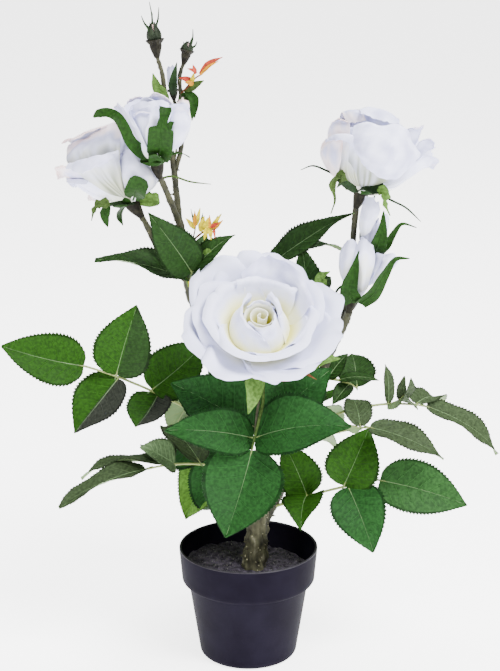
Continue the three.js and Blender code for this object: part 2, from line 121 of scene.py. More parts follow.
# Each leaf spray: its stalk's foot, end and rise, the way its leaflets face and their green. Then each
# leaflet: its place along the stalk, its tip, its width and its bend over its length, its turn about its
# midrib in degrees, and the greens of its two halves where they differ from the spray's. Where the two
# halves differ, the darker one is painted shade on the half turned away from the light.
SPRAYS = {
    "leaves_left_high": ((-10, 9, 178), (-125, -10, 243), 6, (0.1, -0.85, 0.5), "leaf_mid", [
        (1, (-187, -22, 263), 0.62, -0.05, 0),
        (0.8, (-85, -8, 290), 0.78, -0.02, 0, "leaf_mid", "leaf_dark"),
        (0.78, (-133, -30, 196), 0.8, -0.03, 28, "leaf_dusk", "leaf_mid"),
        (0.57, (-33, 4, 258), 0.76, -0.08, 0),
        (0.52, (-86, -30, 201), 1.0, -0.1, 30, "leaf_dusk", "leaf_mid"),
    ]),
    "leaves_left_low": ((-4, 5, 150), (-78, -20, 163), 6, (0, 0, 1), "leaf_grey", [
        (1, (-145, -45, 141), 0.42, 0.05, 0),
        (0.8, (-133, 8, 147), 0.3, 0.1, 0),
        (0.8, (-84, 30, 164), 0.5, 0.1, 0),
        (0.72, (-82, -30, 185), 0.8, 0.05, -45, "leaf_pale", "leaf_pale"),
        (0.45, (-71, 45, 177), 0.5, 0.1, 0),
    ]),
    "leaves_left_hanging": ((-4, 5, 150), (-32, 40, 158), 8, (0, -0.8, 0.6), "leaf_deep", [
        (1, (-52, 48, 93), 0.55, -0.05, 0, "leaf_light", "leaf_light"),
        (0.7, (-70, 85, 136), 0.6, 0.1, 0),
        (0.7, (-28, 62, 92), 0.6, 0.1, 0),
    ]),
    "leaves_front": ((8, -9, 192), (3, -46, 189), 4, (0, -0.75, 0.65), "leaf_deep", [
        (1, (-17, -84, 133), 0.9, -0.06, 0),
        (0.7, (-62, -52, 206), 0.52, 0.1, -10),
        (0.7, (77, -52, 209), 0.7, 0.1, -8),
        (0.12, (-59, -14, 231), 0.74, 0.12, -10),
        (0.12, (63, -16, 243), 0.8, 0.1, 10),
    ]),
    "leaves_right_high": ((43, 9, 185), (139, 20, 201), 9, (0, -0.25, 0.95), "leaf_grey", [
        (1, (201, 28, 159), 0.34, 0.08, 10),
        (0.93, (157, 68, 187), 0.5, 0.1, 0),
        (0.93, (119, -8, 233), 0.4, 0.1, 170),
        (0.7, (126, -12, 233), 0.42, 0.1, 190),
        (0.7, (109, 38, 230), 0.28, 0.1, 20),
    ]),
    "leaves_right_middle": ((37, 8, 168), (92, -20, 197), 4, (0, -0.25, 0.95), "leaf_grey", [
        (1, (149, -38, 178), 0.4, 0.06, 10),
        (0.9, (62, -30, 214), 0.45, 0.1, 180, "leaf_pale", "leaf_pale"),
        (0.9, (82, 25, 206), 0.5, 0.1, 0),
    ]),
    "leaves_right_low": ((18, 2, 122), (101, -15, 152), 2, (0, -0.85, 0.5), "leaf_mid", [
        (1, (170, -25, 135), 0.6, 0.08, 0, "leaf_fresh", "leaf_fresh"),
        (0.68, (94, -2, 190), 0.86, 0.1, 0),
        (0.72, (97, -38, 101), 0.78, 0.12, 0, "leaf_deep", "leaf_deep"),
        (0.34, (27, 0, 178), 0.7, 0.1, 0),
        (0.34, (40, -50, 126), 0.7, 0.12, 20),
    ]),
    "leaves_left_top": ((-46, 9, 302), (-43, 2, 314), 0, (0, -0.8, 0.6), "leaf_dark", [
        (1, (-73, -25, 365), 0.5, 0.05, -15),
        (0.4, (-115, -10, 329), 0.45, 0.05, 40),
        (0.8, (-11, -2, 345), 0.42, 0.1, -20),
        (0.9, (-32, 22, 341), 0.4, 0.1, 0),
    ]),
    "leaves_right_top": ((66, 8, 250), (13, 26, 311), 6, (0, -0.6, 0.8), "leaf_dark", [
        (1, (79, 6, 361), 0.28, 0.02, 0),
        (0.97, (74, 40, 325), 0.25, 0.16, -30),
        (0.35, (41, 12, 333), 0.5, 0.1, 0),
        (0.45, (65, 44, 301), 0.5, 0.1, 0),
    ]),
    "leaves_right_inner": ((56, 10, 226), (86, 26, 214), 3, (0, -0.6, 0.8), "leaf_dark", [
        (1, (83, 48, 236), 1.0, 0.1, 0),
        (0.5, (102, 12, 225), 0.3, 0.12, 0),
        (0.8, (66, 8, 206), 0.6, 0.1, 0),
        (0.2, (78, 20, 244), 0.6, 0.1, 0),
    ]),
    "leaves_back_low_left": ((2, 7, 122), (-16, 74, 150), 4, (0, 0.2, 0.97), "leaf_mid", [
        (1, (-23, 142, 102), 0.6, 0.1, 0),
        (0.75, (-51, 96, 126), 0.65, 0.1, 0),
        (0.75, (7, 112, 105), 0.65, 0.1, 0),
        (0.42, (-43, 52, 118), 0.7, 0.1, 0),
        (0.42, (2, 78, 99), 0.7, 0.1, 0),
    ]),
    "leaves_back_low_right": ((14, 6, 128), (44, 70, 160), 4, (0, 0.2, 0.97), "leaf_mid", [
        (1, (49, 138, 138), 0.6, 0.1, 0),
        (0.75, (17, 112, 144), 0.65, 0.1, 0),
        (0.75, (74, 92, 142), 0.65, 0.1, 0),
        (0.42, (20, 64, 117), 0.7, 0.1, 0),
        (0.42, (55, 48, 133), 0.7, 0.1, 0),
    ]),
    "leaves_back_middle": ((8, -8, 180), (4, 56, 222), 6, (0, 0.3, 0.95), "leaf_dark", [
        (1, (0, 118, 222), 0.6, 0.1, 0),
        (0.75, (-33, 88, 208), 0.65, 0.1, 0),
        (0.75, (33, 92, 210), 0.65, 0.1, 0),
        (0.42, (-18, 48, 188), 0.7, 0.1, 0),
        (0.42, (29, 52, 189), 0.7, 0.1, 0),
    ]),
    "leaves_back_high_left": ((-34, 12, 262), (-22, 62, 290), 5, (0, 0.4, 0.9), "leaf_dark", [
        (1, (-13, 104, 282), 0.6, 0.1, 0),
        (0.7, (-39, 72, 269), 0.65, 0.1, 0),
        (0.7, (6, 92, 255), 0.65, 0.1, 0),
    ]),
    "leaves_back_high_right": ((60, 8, 238), (50, 62, 262), 5, (0, 0.4, 0.9), "leaf_mid", [
        (1, (40, 108, 273), 0.6, 0.1, 0),
        (0.7, (67, 80, 253), 0.65, 0.1, 0),
        (0.7, (15, 88, 242), 0.65, 0.1, 0),
        (0.35, (19, 60, 227), 0.6, 0.1, 0),
    ]),
    "leaves_back_left": ((-18, 10, 209), (-44, 62, 198), 5, (0, 0.3, 0.95), "leaf_mid", [
        (1, (-51, 108, 168), 0.6, 0.1, 0),
        (0.7, (-63, 66, 158), 0.65, 0.1, 0),
        (0.7, (-28, 92, 187), 0.65, 0.1, 0),
    ]),
    "leaves_back_right": ((40, 7, 178), (58, 60, 190), 5, (0, 0.3, 0.95), "leaf_mid", [
        (1, (59, 112, 178), 0.6, 0.1, 0),
        (0.7, (43, 78, 206), 0.65, 0.1, 0),
        (0.7, (76, 70, 162), 0.65, 0.1, 0),
    ]),
}

# ---- numbers and curves --------------------------------------------------------------------------


def unit(vector):
    vector = np.asarray(vector, float)
    return vector / np.linalg.norm(vector)


def smoothstep(x, low=0.0, high=1.0):
    t = np.clip((x - low) / (high - low), 0, 1)
    return t * t * (3 - 2 * t)


def square_to(face, along):
    """face, turned so that it is square to along."""
    return unit(face - np.dot(face, along) * along)


def turned(vector, axis, angle):
    """vector turned about a unit axis that it is square to."""
    return vector * math.cos(angle) + np.cross(axis, vector) * math.sin(angle)


def circle(sides):
    """Evenly spaced angles, all the way round."""
    return np.arange(sides) * 2 * math.pi / sides


def curve_through(through, steps=8):
    """Points along a smooth curve that runs through the given ones, steps to each stretch."""
    knots = np.array(through, float)
    knots = np.vstack([2 * knots[0] - knots[1], knots, 2 * knots[-1] - knots[-2]])
    spans = np.linalg.norm(np.diff(knots, axis=0), axis=1) ** 0.5
    times = np.concatenate([[0], np.cumsum(spans)])
    found = []
    for i in range(1, len(knots) - 2):
        p, t = knots[i - 1 : i + 3], times[i - 1 : i + 3]
        for x in np.linspace(t[1], t[2], steps, endpoint=False):
            a = [(t[k + 1] - x) * p[k] + (x - t[k]) * p[k + 1] for k in range(3)]
            a = [a[k] / (t[k + 1] - t[k]) for k in range(3)]
            b = [((t[k + 2] - x) * a[k] + (x - t[k]) * a[k + 1]) / (t[k + 2] - t[k]) for k in range(2)]
            found.append(((t[2] - x) * b[0] + (x - t[1]) * b[1]) / (t[2] - t[1]))
    return np.array(found + [knots[-2]])


def bezier(foot, middle, end, share):
    share = np.asarray(share, float)[..., None]
    foot, middle, end = (np.asarray(p, float) for p in (foot, middle, end))
    return (1 - share) ** 2 * foot + 2 * share * (1 - share) * middle + share**2 * end


def roughness_at(points, size, seed, waves=14):
    """A smooth random number near -1 to 1 at each point, that changes over about size."""
    rng = np.random.default_rng(seed)
    total = np.zeros(len(points))
    for _ in range(waves):
        direction = unit(rng.normal(size=3)) * rng.uniform(0.6, 1.5) * 2 * math.pi / size
        total += np.sin(points @ direction + rng.uniform(0, 2 * math.pi))
    return total / math.sqrt(waves)


# ---- meshes --------------------------------------------------------------------------------------


class Joined:
    """One joined mesh in the making: points in millimetres, faces, and each face's finish."""

    def __init__(self, *finishes):
        self.finishes = list(finishes)
        self.points, self.tints, self.shades, self.faces, self.slots = [], [], [], [], []
        self.count = 0

    def add(self, points, faces, finish=None, tint=0.0, shade=0.0):
        """finish is one name, or one for each face. tint and the painted shade are one number, or one for
        each point.
        """
        points = np.asarray(points, float).reshape(-1, 3)
        self.points.append(points)
        self.tints.append(np.broadcast_to(np.asarray(tint, float), len(points)))
        self.shades.append(np.broadcast_to(np.asarray(shade, float), len(points)))
        self.faces.extend([tuple(int(k) + self.count for k in face) for face in faces])
        finish = finish or self.finishes[0]
        if isinstance(finish, str):
            finish = [finish] * len(faces)
        self.slots.extend([self.finishes.index(name) for name in finish])
        self.count += len(points)

    def make(self, name, replaces=(), sharp=50):
        """Makes the piece. Edges that turn more than sharp degrees stay crisp."""
        mesh = bpy.data.meshes.new(name)
        mesh.from_pydata(np.vstack(self.points) * MM, [], self.faces)
        mesh.polygons.foreach_set("material_index", np.array(self.slots, np.int32))
        mesh.polygons.foreach_set("use_smooth", np.ones(len(self.faces), bool))
        for label, numbers in (("tint", self.tints), ("shade", self.shades)):
            attribute = mesh.attributes.new(label, "FLOAT", "POINT")
            attribute.data.foreach_set("value", np.concatenate(numbers).astype(np.float32))
        mesh.set_sharp_from_angle(angle=math.radians(sharp))
        mesh.update()
        piece = bpy.data.objects.new(name, mesh)
        bpy.context.scene.collection.objects.link(piece)
        for finish in self.finishes:
            mesh.materials.append(MATERIALS[finish])
        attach(piece, "root")
        if replaces:
            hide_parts(*replaces)


def grid_faces(rows, cols, start=0, flip=False, closed=False):
    """The four-sided faces of a grid of points, row by row. closed joins each row's last to its first."""
    faces = []
    for i in range(rows - 1):
        for k in range(cols if closed else cols - 1):
            a, b = start + i * cols + k, start + i * cols + (k + 1) % cols
            face = (a, b, b + cols, a + cols)
            faces.append(face[::-1] if flip else face)
    return faces


def normals_of(grid):
    """The direction that a grid of points faces, at each point."""
    down, across = np.gradient(grid, axis=0), np.gradient(grid, axis=1)
    normal = np.cross(across, down)
    size = np.linalg.norm(normal, axis=2, keepdims=True)
    return normal / np.maximum(size, 1e-9)


def add_shell(mesh, grid, thick, upper, under=None, tint=0.0, shade=0.0):
    """A thin closed sheet round a grid of points. Its upper side lies along normals_of, and upper is that
    side's finish, or one for each face of it."""
    rows, cols, _ = grid.shape
    offset = normals_of(grid) * thick / 2
    points = np.vstack([(grid + offset).reshape(-1, 3), (grid - offset).reshape(-1, 3)])
    half = rows * cols
    faces = grid_faces(rows, cols) + grid_faces(rows, cols, half, flip=True)
    count = (rows - 1) * (cols - 1)
    uppers = [upper] * count if isinstance(upper, str) else upper
    finish = list(uppers) + [under or upper] * count
    edge = list(range(cols)) + [i * cols + cols - 1 for i in range(1, rows)]
    edge += [(rows - 1) * cols + k for k in range(cols - 2, -1, -1)]
    edge += [i * cols for i in range(rows - 2, 0, -1)]
    for a, b in zip(edge, edge[1:] + edge[:1]):
        faces.append((b, a, a + half, b + half))
        finish.append(uppers[0])
    tint, shade = (np.tile(np.broadcast_to(part, (rows, cols)).ravel(), 2) for part in (tint, shade))
    mesh.add(points, faces, finish, tint, shade)


def rings_along(path):
    """Two directions square to a path at each of its points, that turn with it and don't spin."""
    tangents = np.gradient(path, axis=0)
    tangents /= np.linalg.norm(tangents, axis=1, keepdims=True)
    side = square_to(np.array([0.31, 0.17, 0.93]), tangents[0])
    sides = []
    for tangent in tangents:
        side = square_to(side, tangent)
        sides.append(side)
    sides = np.array(sides)
    return sides, np.cross(tangents, sides)


def add_tube(mesh, path, radii, sides=10, finish=None, relief=None):
    """A round bar along a path. relief is a function that says how far its skin is raised at each point."""
    one, two = rings_along(path)
    angles = circle(sides)[None, :, None]
    radial = one[:, None] * np.cos(angles) + two[:, None] * np.sin(angles)
    skin = path[:, None] + radial * np.broadcast_to(radii, len(path))[:, None, None]
    if relief:
        skin = skin + radial * relief(skin.reshape(-1, 3)).reshape(len(path), sides, 1)
    faces = grid_faces(len(path), sides, closed=True)
    last = (len(path) - 1) * sides
    faces += [tuple(range(sides))[::-1], tuple(range(last, last + sides))]
    mesh.add(skin, faces, finish)


def add_spike(mesh, foot, tip, radius, sides=6, finish=None):
    """A small cone, as a thorn or a bump."""
    foot, tip = np.asarray(foot, float), np.asarray(tip, float)
    along = unit(tip - foot)
    side = square_to(np.array([0.3, 0.9, 0.2]), along)
    other = np.cross(along, side)
    angles = circle(sides)[:, None]
    ring = foot + radius * (np.cos(angles) * side + np.sin(angles) * other)
    middle = foot + (tip - foot) * 0.5 + 0.45 * (ring - foot)
    faces = grid_faces(2, sides, closed=True)
    faces += [(sides + k, sides + (k + 1) % sides, 2 * sides) for k in range(sides)]
    faces.append(tuple(range(sides))[::-1])
    mesh.add(np.vstack([ring, middle, [tip]]), faces, finish)


def add_lathe(mesh, profile, foot, axis, side, segments, finish, swell=None):
    """Turns a profile of (radius, height) about an axis. swell(angle, height) scales the radius."""
    axis = unit(axis)
    one = square_to(np.asarray(side, float), axis)
    two = np.cross(axis, one)
    angles = circle(segments)
    radial = np.cos(angles)[:, None] * one + np.sin(angles)[:, None] * two
    points = []
    for radius, height in profile:
        reach = radius * (swell(angles, height) if swell else np.ones(segments))
        points.append(np.asarray(foot) + height * axis + reach[:, None] * radial)
    mesh.add(np.vstack(points), grid_faces(len(profile), segments, closed=True), finish)

# ---- finishes ------------------------------------------------------------------------------------

MATERIALS = {}
# The studio light is strong, for the white petals, so every other colour on the plant is taken down to this.
PLANT_LEVEL = 0.62
LEAF_GREENS = {
    "leaf_mid": (0.017, 0.068, 0.004),
    "leaf_deep": (0.015, 0.070, 0.014),
    "leaf_dark": (0.016, 0.046, 0.009),
    "leaf_grey": (0.045, 0.072, 0.030),
    # A grey-green painted shade with some painted sheen, for leaflet halves turned away from the light.
    "leaf_dusk": (0.035, 0.040, 0.031),
    "leaf_pale": (0.110, 0.180, 0.080),
    "leaf_light": (0.090, 0.220, 0.025),
    "leaf_fresh": (0.026, 0.086, 0.020),
}
SEPAL_GREENS = {
    "sepal_green": (0.014, 0.050, 0.006),
    "sepal_bright": (0.120, 0.240, 0.045),
    "sepal_dark": (0.016, 0.038, 0.012),
    "sepal_olive": (0.060, 0.105, 0.024),
}
SHOOT_COLOURS = {
    "shoot_coral": (0.500, 0.070, 0.036),
    "shoot_red": (0.400, 0.040, 0.022),
    "shoot_yellow": (0.620, 0.500, 0.006),
    "shoot_orange": (0.600, 0.260, 0.010),
    "shoot_stem": (0.170, 0.060, 0.022),
    "shoot_pink": (0.700, 0.260, 0.240),
}
# The other mottled finishes: dark and light colour, roughness, how large the mottling and the grain are and
# how deep the grain is, in metres, and what differs from mottled's own values.
FINISHES = {
    "leaf_under": ((0.1445, 0.2295, 0.0935), (0.1955, 0.3105, 0.1265), 0.65, 0.012, 0.0005, 0.0001,
                   dict(specular=0.2)),
    "stalk": ((0.20, 0.26, 0.06), (0.34, 0.40, 0.12), 0.55, 0.012, 0.0008, 0.0001, {}),
    "stem": ((0.019, 0.020, 0.009), (0.062, 0.062, 0.027), 0.6, 0.007, 0.0012, 0.0003,
             dict(strength=0.6, specular=0.25)),
    "wart": ((0.30, 0.28, 0.16), (0.46, 0.43, 0.28), 0.6, 0.003, 0.0006, 0.0001, {}),
    "hip": ((0.007, 0.006, 0.004), (0.026, 0.024, 0.014), 0.6, 0.004, 0.0009, 0.0002, dict(specular=0.1)),
    "bud_green": ((0.008, 0.013, 0.006), (0.026, 0.038, 0.020), 0.6, 0.004, 0.0007, 0.0002,
                  dict(specular=0.1)),
    "pot": ((0.0068, 0.0052, 0.0113), (0.0109, 0.0089, 0.0178), 0.6, 0.03, 0.0011, 0.00006,
            dict(strength=0.35, specular=0.02, uneven=0.08)),
    "pot_lip": ((0.021, 0.018, 0.026), (0.037, 0.033, 0.042), 0.5, 0.012, 0.0009, 0.00006,
                dict(strength=0.4, specular=0.2)),
    "fill": ((0.027, 0.022, 0.034), (0.115, 0.098, 0.130), 0.9, 0.004, 0.0012, 0.0009,
             dict(strength=1.0, specular=0.1)),
    "grit": ((0.014, 0.012, 0.016), (0.085, 0.078, 0.086), 0.75, 0.003, 0.0007, 0.0002, dict(strength=0.7)),
    "grit_pale": ((0.14, 0.13, 0.13), (0.26, 0.25, 0.24), 0.7, 0.003, 0.0007, 0.0002, dict(strength=0.7)),
    "floor": ((0.90, 0.90, 0.905), (0.92, 0.92, 0.925), 0.7, 0.4, 0.01, 0.0001, dict(strength=0.1, level=1)),
}
FLOOR_GLOW = 3.6
# From a blush at 0, through lavender and white, to the yellow of the heart at 1. The lavender, darker than
# the white, is painted shade where rims and sides take it.
PETAL_TINTS = [
    (0.0, (0.64, 0.44, 0.41)), (0.2, (0.76, 0.68, 0.72)), (0.35, (0.47, 0.48, 0.70)),
    (0.5, (0.75, 0.77, 0.97)), (0.72, (0.84, 0.84, 0.62)), (1.0, (0.68, 0.65, 0.16)),
]
# A grey-green painted shade, mixed into the petals from their feet upward and along their ribs.
PETAL_PAINTED_SHADE = (0.17, 0.19, 0.13)
# From the bottom of the bark's furrows to its pale flecks.
BARK_TINTS = [
    (0.30, (0.009, 0.008, 0.006)), (0.46, (0.036, 0.035, 0.019)), (0.60, (0.074, 0.072, 0.040)),
    (0.74, (0.210, 0.200, 0.140)),
]


def shaded(colour, factor):
    return tuple(min(channel * factor, 1.0) for channel in colour)


def finish_of(name, roughness, specular):
    """An empty finish: its nodes, its links and its surface shader."""
    material = bpy.data.materials.new(name)
    material.use_nodes = True
    shader = material.node_tree.nodes["Principled BSDF"]
    shader.inputs["Roughness"].default_value = roughness
    shader.inputs["Specular IOR Level"].default_value = specular
    MATERIALS[name] = material
    return material.node_tree.nodes, material.node_tree.links, shader


def noise(nodes, links, size, detail=3.0, stretch=(1, 1, 1)):
    """A random pattern in the object's own space, with features about size metres across."""
    place = nodes.new("ShaderNodeTexCoord")
    mapping = nodes.new("ShaderNodeMapping")
    mapping.inputs["Scale"].default_value = stretch
    pattern = nodes.new("ShaderNodeTexNoise")
    pattern.inputs["Scale"].default_value = 1 / size
    pattern.inputs["Detail"].default_value = detail
    links.new(place.outputs["Object"], mapping.inputs["Vector"])
    links.new(mapping.outputs["Vector"], pattern.inputs["Vector"])
    return pattern.outputs["Fac"]


def ramp(nodes, links, source, stops):
    """Colours by a number from 0 to 1: each stop is a place and a colour."""
    node = nodes.new("ShaderNodeValToRGB")
    elements = node.color_ramp.elements
    while len(elements) < len(stops):
        elements.new(0.5)
    for element, (place, colour) in zip(elements, stops):
        element.position = place
        element.color = (*colour, 1)
    links.new(source, node.inputs["Fac"])
    return node.outputs["Color"]


def bump(nodes, links, shader, height, depth, strength):
    node = nodes.new("ShaderNodeBump")
    node.inputs["Strength"].default_value = strength
    node.inputs["Distance"].default_value = depth
    links.new(height, node.inputs["Height"])
    links.new(node.outputs["Normal"], shader.inputs["Normal"])


def mottled(name, dark, light, roughness, size, grain, depth, strength=0.5, specular=0.5, uneven=0.12,
            level=PLANT_LEVEL):
    """A finish that drifts between two colours over size, with a fine grain in its height and gloss."""
    nodes, links, shader = finish_of(name, roughness, specular)
    stops = [(0.35, shaded(dark, level)), (0.65, shaded(light, level))]
    links.new(ramp(nodes, links, noise(nodes, links, size), stops), shader.inputs["Base Color"])
    fine = noise(nodes, links, grain, 2.0)
    spread = nodes.new("ShaderNodeMapRange")
    spread.inputs["To Min"].default_value = max(roughness - uneven, 0.05)
    spread.inputs["To Max"].default_value = min(roughness + uneven, 1.0)
    links.new(fine, spread.inputs["Value"])
    links.new(spread.outputs["Result"], shader.inputs["Roughness"])
    bump(nodes, links, shader, fine, depth, strength)


def two_shades(name, colour, dark, light, *grain, **changes):
    """A mottled finish between a darker and a lighter shade of one colour."""
    mottled(name, shaded(colour, dark), shaded(colour, light), 0.6, *grain, **changes)


def add_petal_finish():
    """White fabric whose tint and painted shade each petal carries in its own points."""
    nodes, links, shader = finish_of("petal", 0.75, 0.25)
    carried = {}
    for label in ("tint", "shade"):
        node = nodes.new("ShaderNodeAttribute")
        node.attribute_name = label
        carried[label] = node.outputs["Fac"]
    # The shade number mixes the grey-green painted shade into the tinted white.
    mix = nodes.new("ShaderNodeMixRGB")
    mix.inputs["Color2"].default_value = (*PETAL_PAINTED_SHADE, 1)
    links.new(carried["shade"], mix.inputs["Fac"])
    links.new(ramp(nodes, links, carried["tint"], PETAL_TINTS), mix.inputs["Color1"])
    links.new(mix.outputs["Color"], shader.inputs["Base Color"])
    bump(nodes, links, shader, noise(nodes, links, 0.0006, 1.0), 0.00012, 0.35)


def add_bark_finish():
    nodes, links, shader = finish_of("bark", 0.85, 0.3)
    coarse = noise(nodes, links, 0.006, 6.0, stretch=(1, 1, 0.45))
    links.new(ramp(nodes, links, coarse, BARK_TINTS), shader.inputs["Base Color"])
    bump(nodes, links, shader, coarse, 0.0012, 0.8)


def add_finishes():
    for name, colour in {**LEAF_GREENS, **SEPAL_GREENS, **SHOOT_COLOURS}.items():
        two_shades(name, colour, 0.68, 1.3, 0.0022, 0.0008, 0.00025, 0.7, specular=0.07)
    for name, colour in LEAF_GREENS.items():
        two_shades(name.replace("leaf", "vein"), colour, 1.4, 1.9, 0.01, 0.0006, 0.00008, specular=0.07)
        two_shades(name.replace("leaf", "edge"), colour, 0.3, 0.6, 0.004, 0.0010, 0.0001, specular=0.05)
    for name, (*numbers, changes) in FINISHES.items():
        mottled(name, *numbers, **changes)
    floor = MATERIALS["floor"].node_tree.nodes["Principled BSDF"]
    floor.inputs["Emission Color"].default_value = (1, 1, 1, 1)
    floor.inputs["Emission Strength"].default_value = FLOOR_GLOW
    add_petal_finish()
    add_bark_finish()

# ---- leaves --------------------------------------------------------------------------------------

LEAF_THICK = 0.5
LEAF_FOLD = math.radians(17)  # each half of a leaflet rises this much from its midrib
TOOTH_PITCH = 2.7  # between the teeth of a leaflet's edge
TOOTH_DEPTH = 1.6
FEWEST_TEETH = 11
LEAF_COLUMNS = np.array([-1, -0.93, -0.72, -0.48, -0.24, -0.06, 0.06, 0.24, 0.48, 0.72, 0.93, 1])
# Half a leaflet's width, from its foot at 0 to its tip at 1, as a share of its widest.
LEAF_OUTLINE = curve_through(
    [(0, 0.02), (0.03, 0.40), (0.09, 0.68), (0.20, 0.92), (0.34, 1), (0.48, 0.96), (0.62, 0.82), (0.76, 0.59),
     (0.88, 0.32), (0.96, 0.12), (1, 0.02)])
VEIN_PAIRS = 7
VEIN_SPAN = 0.9  # the share of the length that the side veins' feet are dealt out over
VEIN_SLOPE = 0.20  # how far a side vein runs forward on its way to the edge, as a share of the length
VEIN_WIDTH = (0.62, 0.28)  # at the midrib and at the edge
VEIN_HEIGHT = 0.5  # as a share of its width
VEIN_SUNK = 0.06
MIDRIB_WIDTH = (1.1, 0.3)
PILLOW = 0.9  # how far a long leaflet swells between its side veins
LONG_LEAFLET = 60
STALK_RADIUS = (1.3, 0.8)
STALKLET_RADIUS = (0.9, 0.5)


class Leaflet:
    """One leaflet's surface: place(u, v) gives its points, u from foot to tip and v from edge to edge."""

    def __init__(self, foot, tip, face, width, bend, turn, seed):
        rng = np.random.default_rng(seed)
        foot, tip = np.asarray(foot, float), np.asarray(tip, float)
        self.foot, self.length = foot, np.linalg.norm(tip - foot)
        self.along = unit(tip - foot)
        self.up = turned(square_to(unit(face), self.along), self.along, math.radians(turn))
        self.across = np.cross(self.along, self.up)
        self.half = width * self.length / 2
        self.bend = bend
        self.phase = rng.uniform(0, 2 * math.pi)
        self.wave = rng.uniform(0.015, 0.035) * self.length
        self.sweep = rng.uniform(-0.035, 0.035) * self.length
        self.hook = rng.uniform(0.01, 0.05) * self.length

    def place(self, u, v):
        u, v = np.broadcast_arrays(np.asarray(u, float), np.asarray(v, float))
        inside = np.clip(u, 0, 1)
        half = self.half * np.interp(inside, LEAF_OUTLINE[:, 0], LEAF_OUTLINE[:, 1])
        beyond = np.abs(v)
        vein = np.sin(math.pi * VEIN_PAIRS * (u - VEIN_SLOPE * beyond) / VEIN_SPAN) ** 2
        swell = PILLOW * min(1, self.length / LONG_LEAFLET) * vein * smoothstep(beyond, 0.04, 0.25)
        lift = 4 * self.bend * self.length * inside * (1 - inside)
        lift = lift + swell * (1 - 0.6 * smoothstep(beyond, 0.7, 1))
        lift += half * math.sin(LEAF_FOLD) * beyond**1.3
        waves = np.sin(9 * u + self.phase + 1.3 * np.sign(v))
        lift += self.wave * waves * beyond**2 * smoothstep(inside, 0, 0.3)
        lift -= self.hook * smoothstep(inside, 0.7, 1) ** 2
        aside = v * half * math.cos(LEAF_FOLD) + 2 * self.sweep * inside * (1 - inside)
        return (self.foot + (u * self.length)[..., None] * self.along
                + aside[..., None] * self.across + lift[..., None] * self.up)

    def normal(self, u, v):
        step = 0.01
        down = self.place(u + step, v) - self.place(u - step, v)
        across = self.place(u, v + step) - self.place(u, v - step)
        normal = np.cross(across, down)
        return normal / np.linalg.norm(normal, axis=-1, keepdims=True)


def add_vein(mesh, leaflet, u, v, widths, side, finish):
    """A thin ridge on a leaflet's upper side, or its under side where side is -1."""
    width = np.linspace(*widths, len(u))
    middle, normal = leaflet.place(u, v), leaflet.normal(u, v)
    along = np.gradient(middle, axis=0)
    aside = np.cross(normal, along)
    aside *= (width / 2 / np.linalg.norm(aside, axis=1))[:, None]
    skin = middle + side * normal * LEAF_THICK / 2
    sunk = side * normal * VEIN_SUNK
    crest = skin + side * normal * VEIN_HEIGHT * width[:, None]
    rows = np.stack([skin - aside * side - sunk, crest, skin + aside * side - sunk], axis=1)
    mesh.add(rows, grid_faces(len(u), 3, flip=True), finish)


def add_leaflet(mesh, leaflet, one, other):
    """one and other are the greens on either side of the midrib; where they differ, the darker is painted
    shade.
    """
    teeth = max(int(leaflet.length / TOOTH_PITCH), FEWEST_TEETH)
    u = np.linspace(0.02, 1, 2 * teeth + 1)[:, None]
    v = LEAF_COLUMNS[None, :]
    tooth = (np.arange(2 * teeth + 1) % 2)[:, None] * (np.abs(v) == 1) * smoothstep(1 - u, 0, 0.1)
    depth = TOOTH_DEPTH * np.minimum(1, leaflet.half / 14)
    forward = 0.35 * TOOTH_PITCH / leaflet.length
    grid = leaflet.place(u + tooth * forward, v * (1 + tooth * depth / leaflet.half))
    row = [one.replace("leaf", "edge")] + [one] * 5 + [other] * 4 + [other.replace("leaf", "edge")]
    add_shell(mesh, grid, LEAF_THICK, row * (len(u) - 1), "leaf_under")
    reach = LEAF_COLUMNS[6:11]
    rib = np.linspace(-0.06, 0.97, 12)
    for side in (1, -1):
        add_vein(mesh, leaflet, rib, 0 * rib, MIDRIB_WIDTH, side, "vein_pale" if side > 0 else "stalk")
        for k in range(VEIN_PAIRS):
            start = VEIN_SPAN * (k + 0.35) / VEIN_PAIRS
            line = np.minimum(start + VEIN_SLOPE * reach, 0.97)
            widths = np.multiply(VEIN_WIDTH, 1 - 0.4 * start)
            for flank, green in ((-1, one), (1, other)):
                finish = green.replace("leaf", "vein") if side > 0 else "stalk"
                add_vein(mesh, leaflet, line, flank * reach, widths, side, finish)


def add_leaves():
    kinds = [name.replace("leaf", kind) for kind in ("leaf", "vein", "edge") for name in LEAF_GREENS]
    leaves = Joined(*kinds, "leaf_under", "stalk")
    stalks = Joined("stalk")
    for number, (foot, end, rise, face, green, leaflets) in enumerate(SPRAYS.values()):
        middle = np.add(foot, end) / 2 + 2 * rise * UP
        path = bezier(foot, middle, end, np.linspace(0, 1, 20))
        add_tube(stalks, path, np.linspace(*STALK_RADIUS, 20), relief=knobbly(0.12, 3, number))
        for k, (place, tip, width, bend, turn, *halves) in enumerate(leaflets):
            start = bezier(foot, middle, end, place)
            leaflet = Leaflet(start, tip, face, width, bend, turn, seed=40 * number + k)
            add_leaflet(leaves, leaflet, *(halves or (green, green)))
            stem = leaflet.place(np.linspace(-0.02, 0.10, 5), np.zeros(5))
            add_tube(stalks, stem, np.linspace(*STALKLET_RADIUS, 5), sides=8)
    leaves.make("leaves", SPRAYS)
    stalks.make("leaf_stalks")

# ---- limbs, pot and fill -------------------------------------------------------------------------

TRUNK_SIDES = 72
POT_SEGMENTS = 128
FILL_SEGMENTS = 150
GRAINS = 2600


def knobbly(depth, size, seed):
    """A relief that rises and falls at random by up to about depth, over about size."""
    return lambda points: depth * roughness_at(points, size, seed)


def furrowed(points):
    """The trunk's relief: deep lengthwise furrows, knots and a fine grain."""
    furrows = np.abs(roughness_at(points * (1, 1, 0.28), 5.5, 21)) - 0.6
    return 0.85 * furrows + 0.55 * roughness_at(points, 9, 22) + 0.16 * roughness_at(points, 1.8, 23)


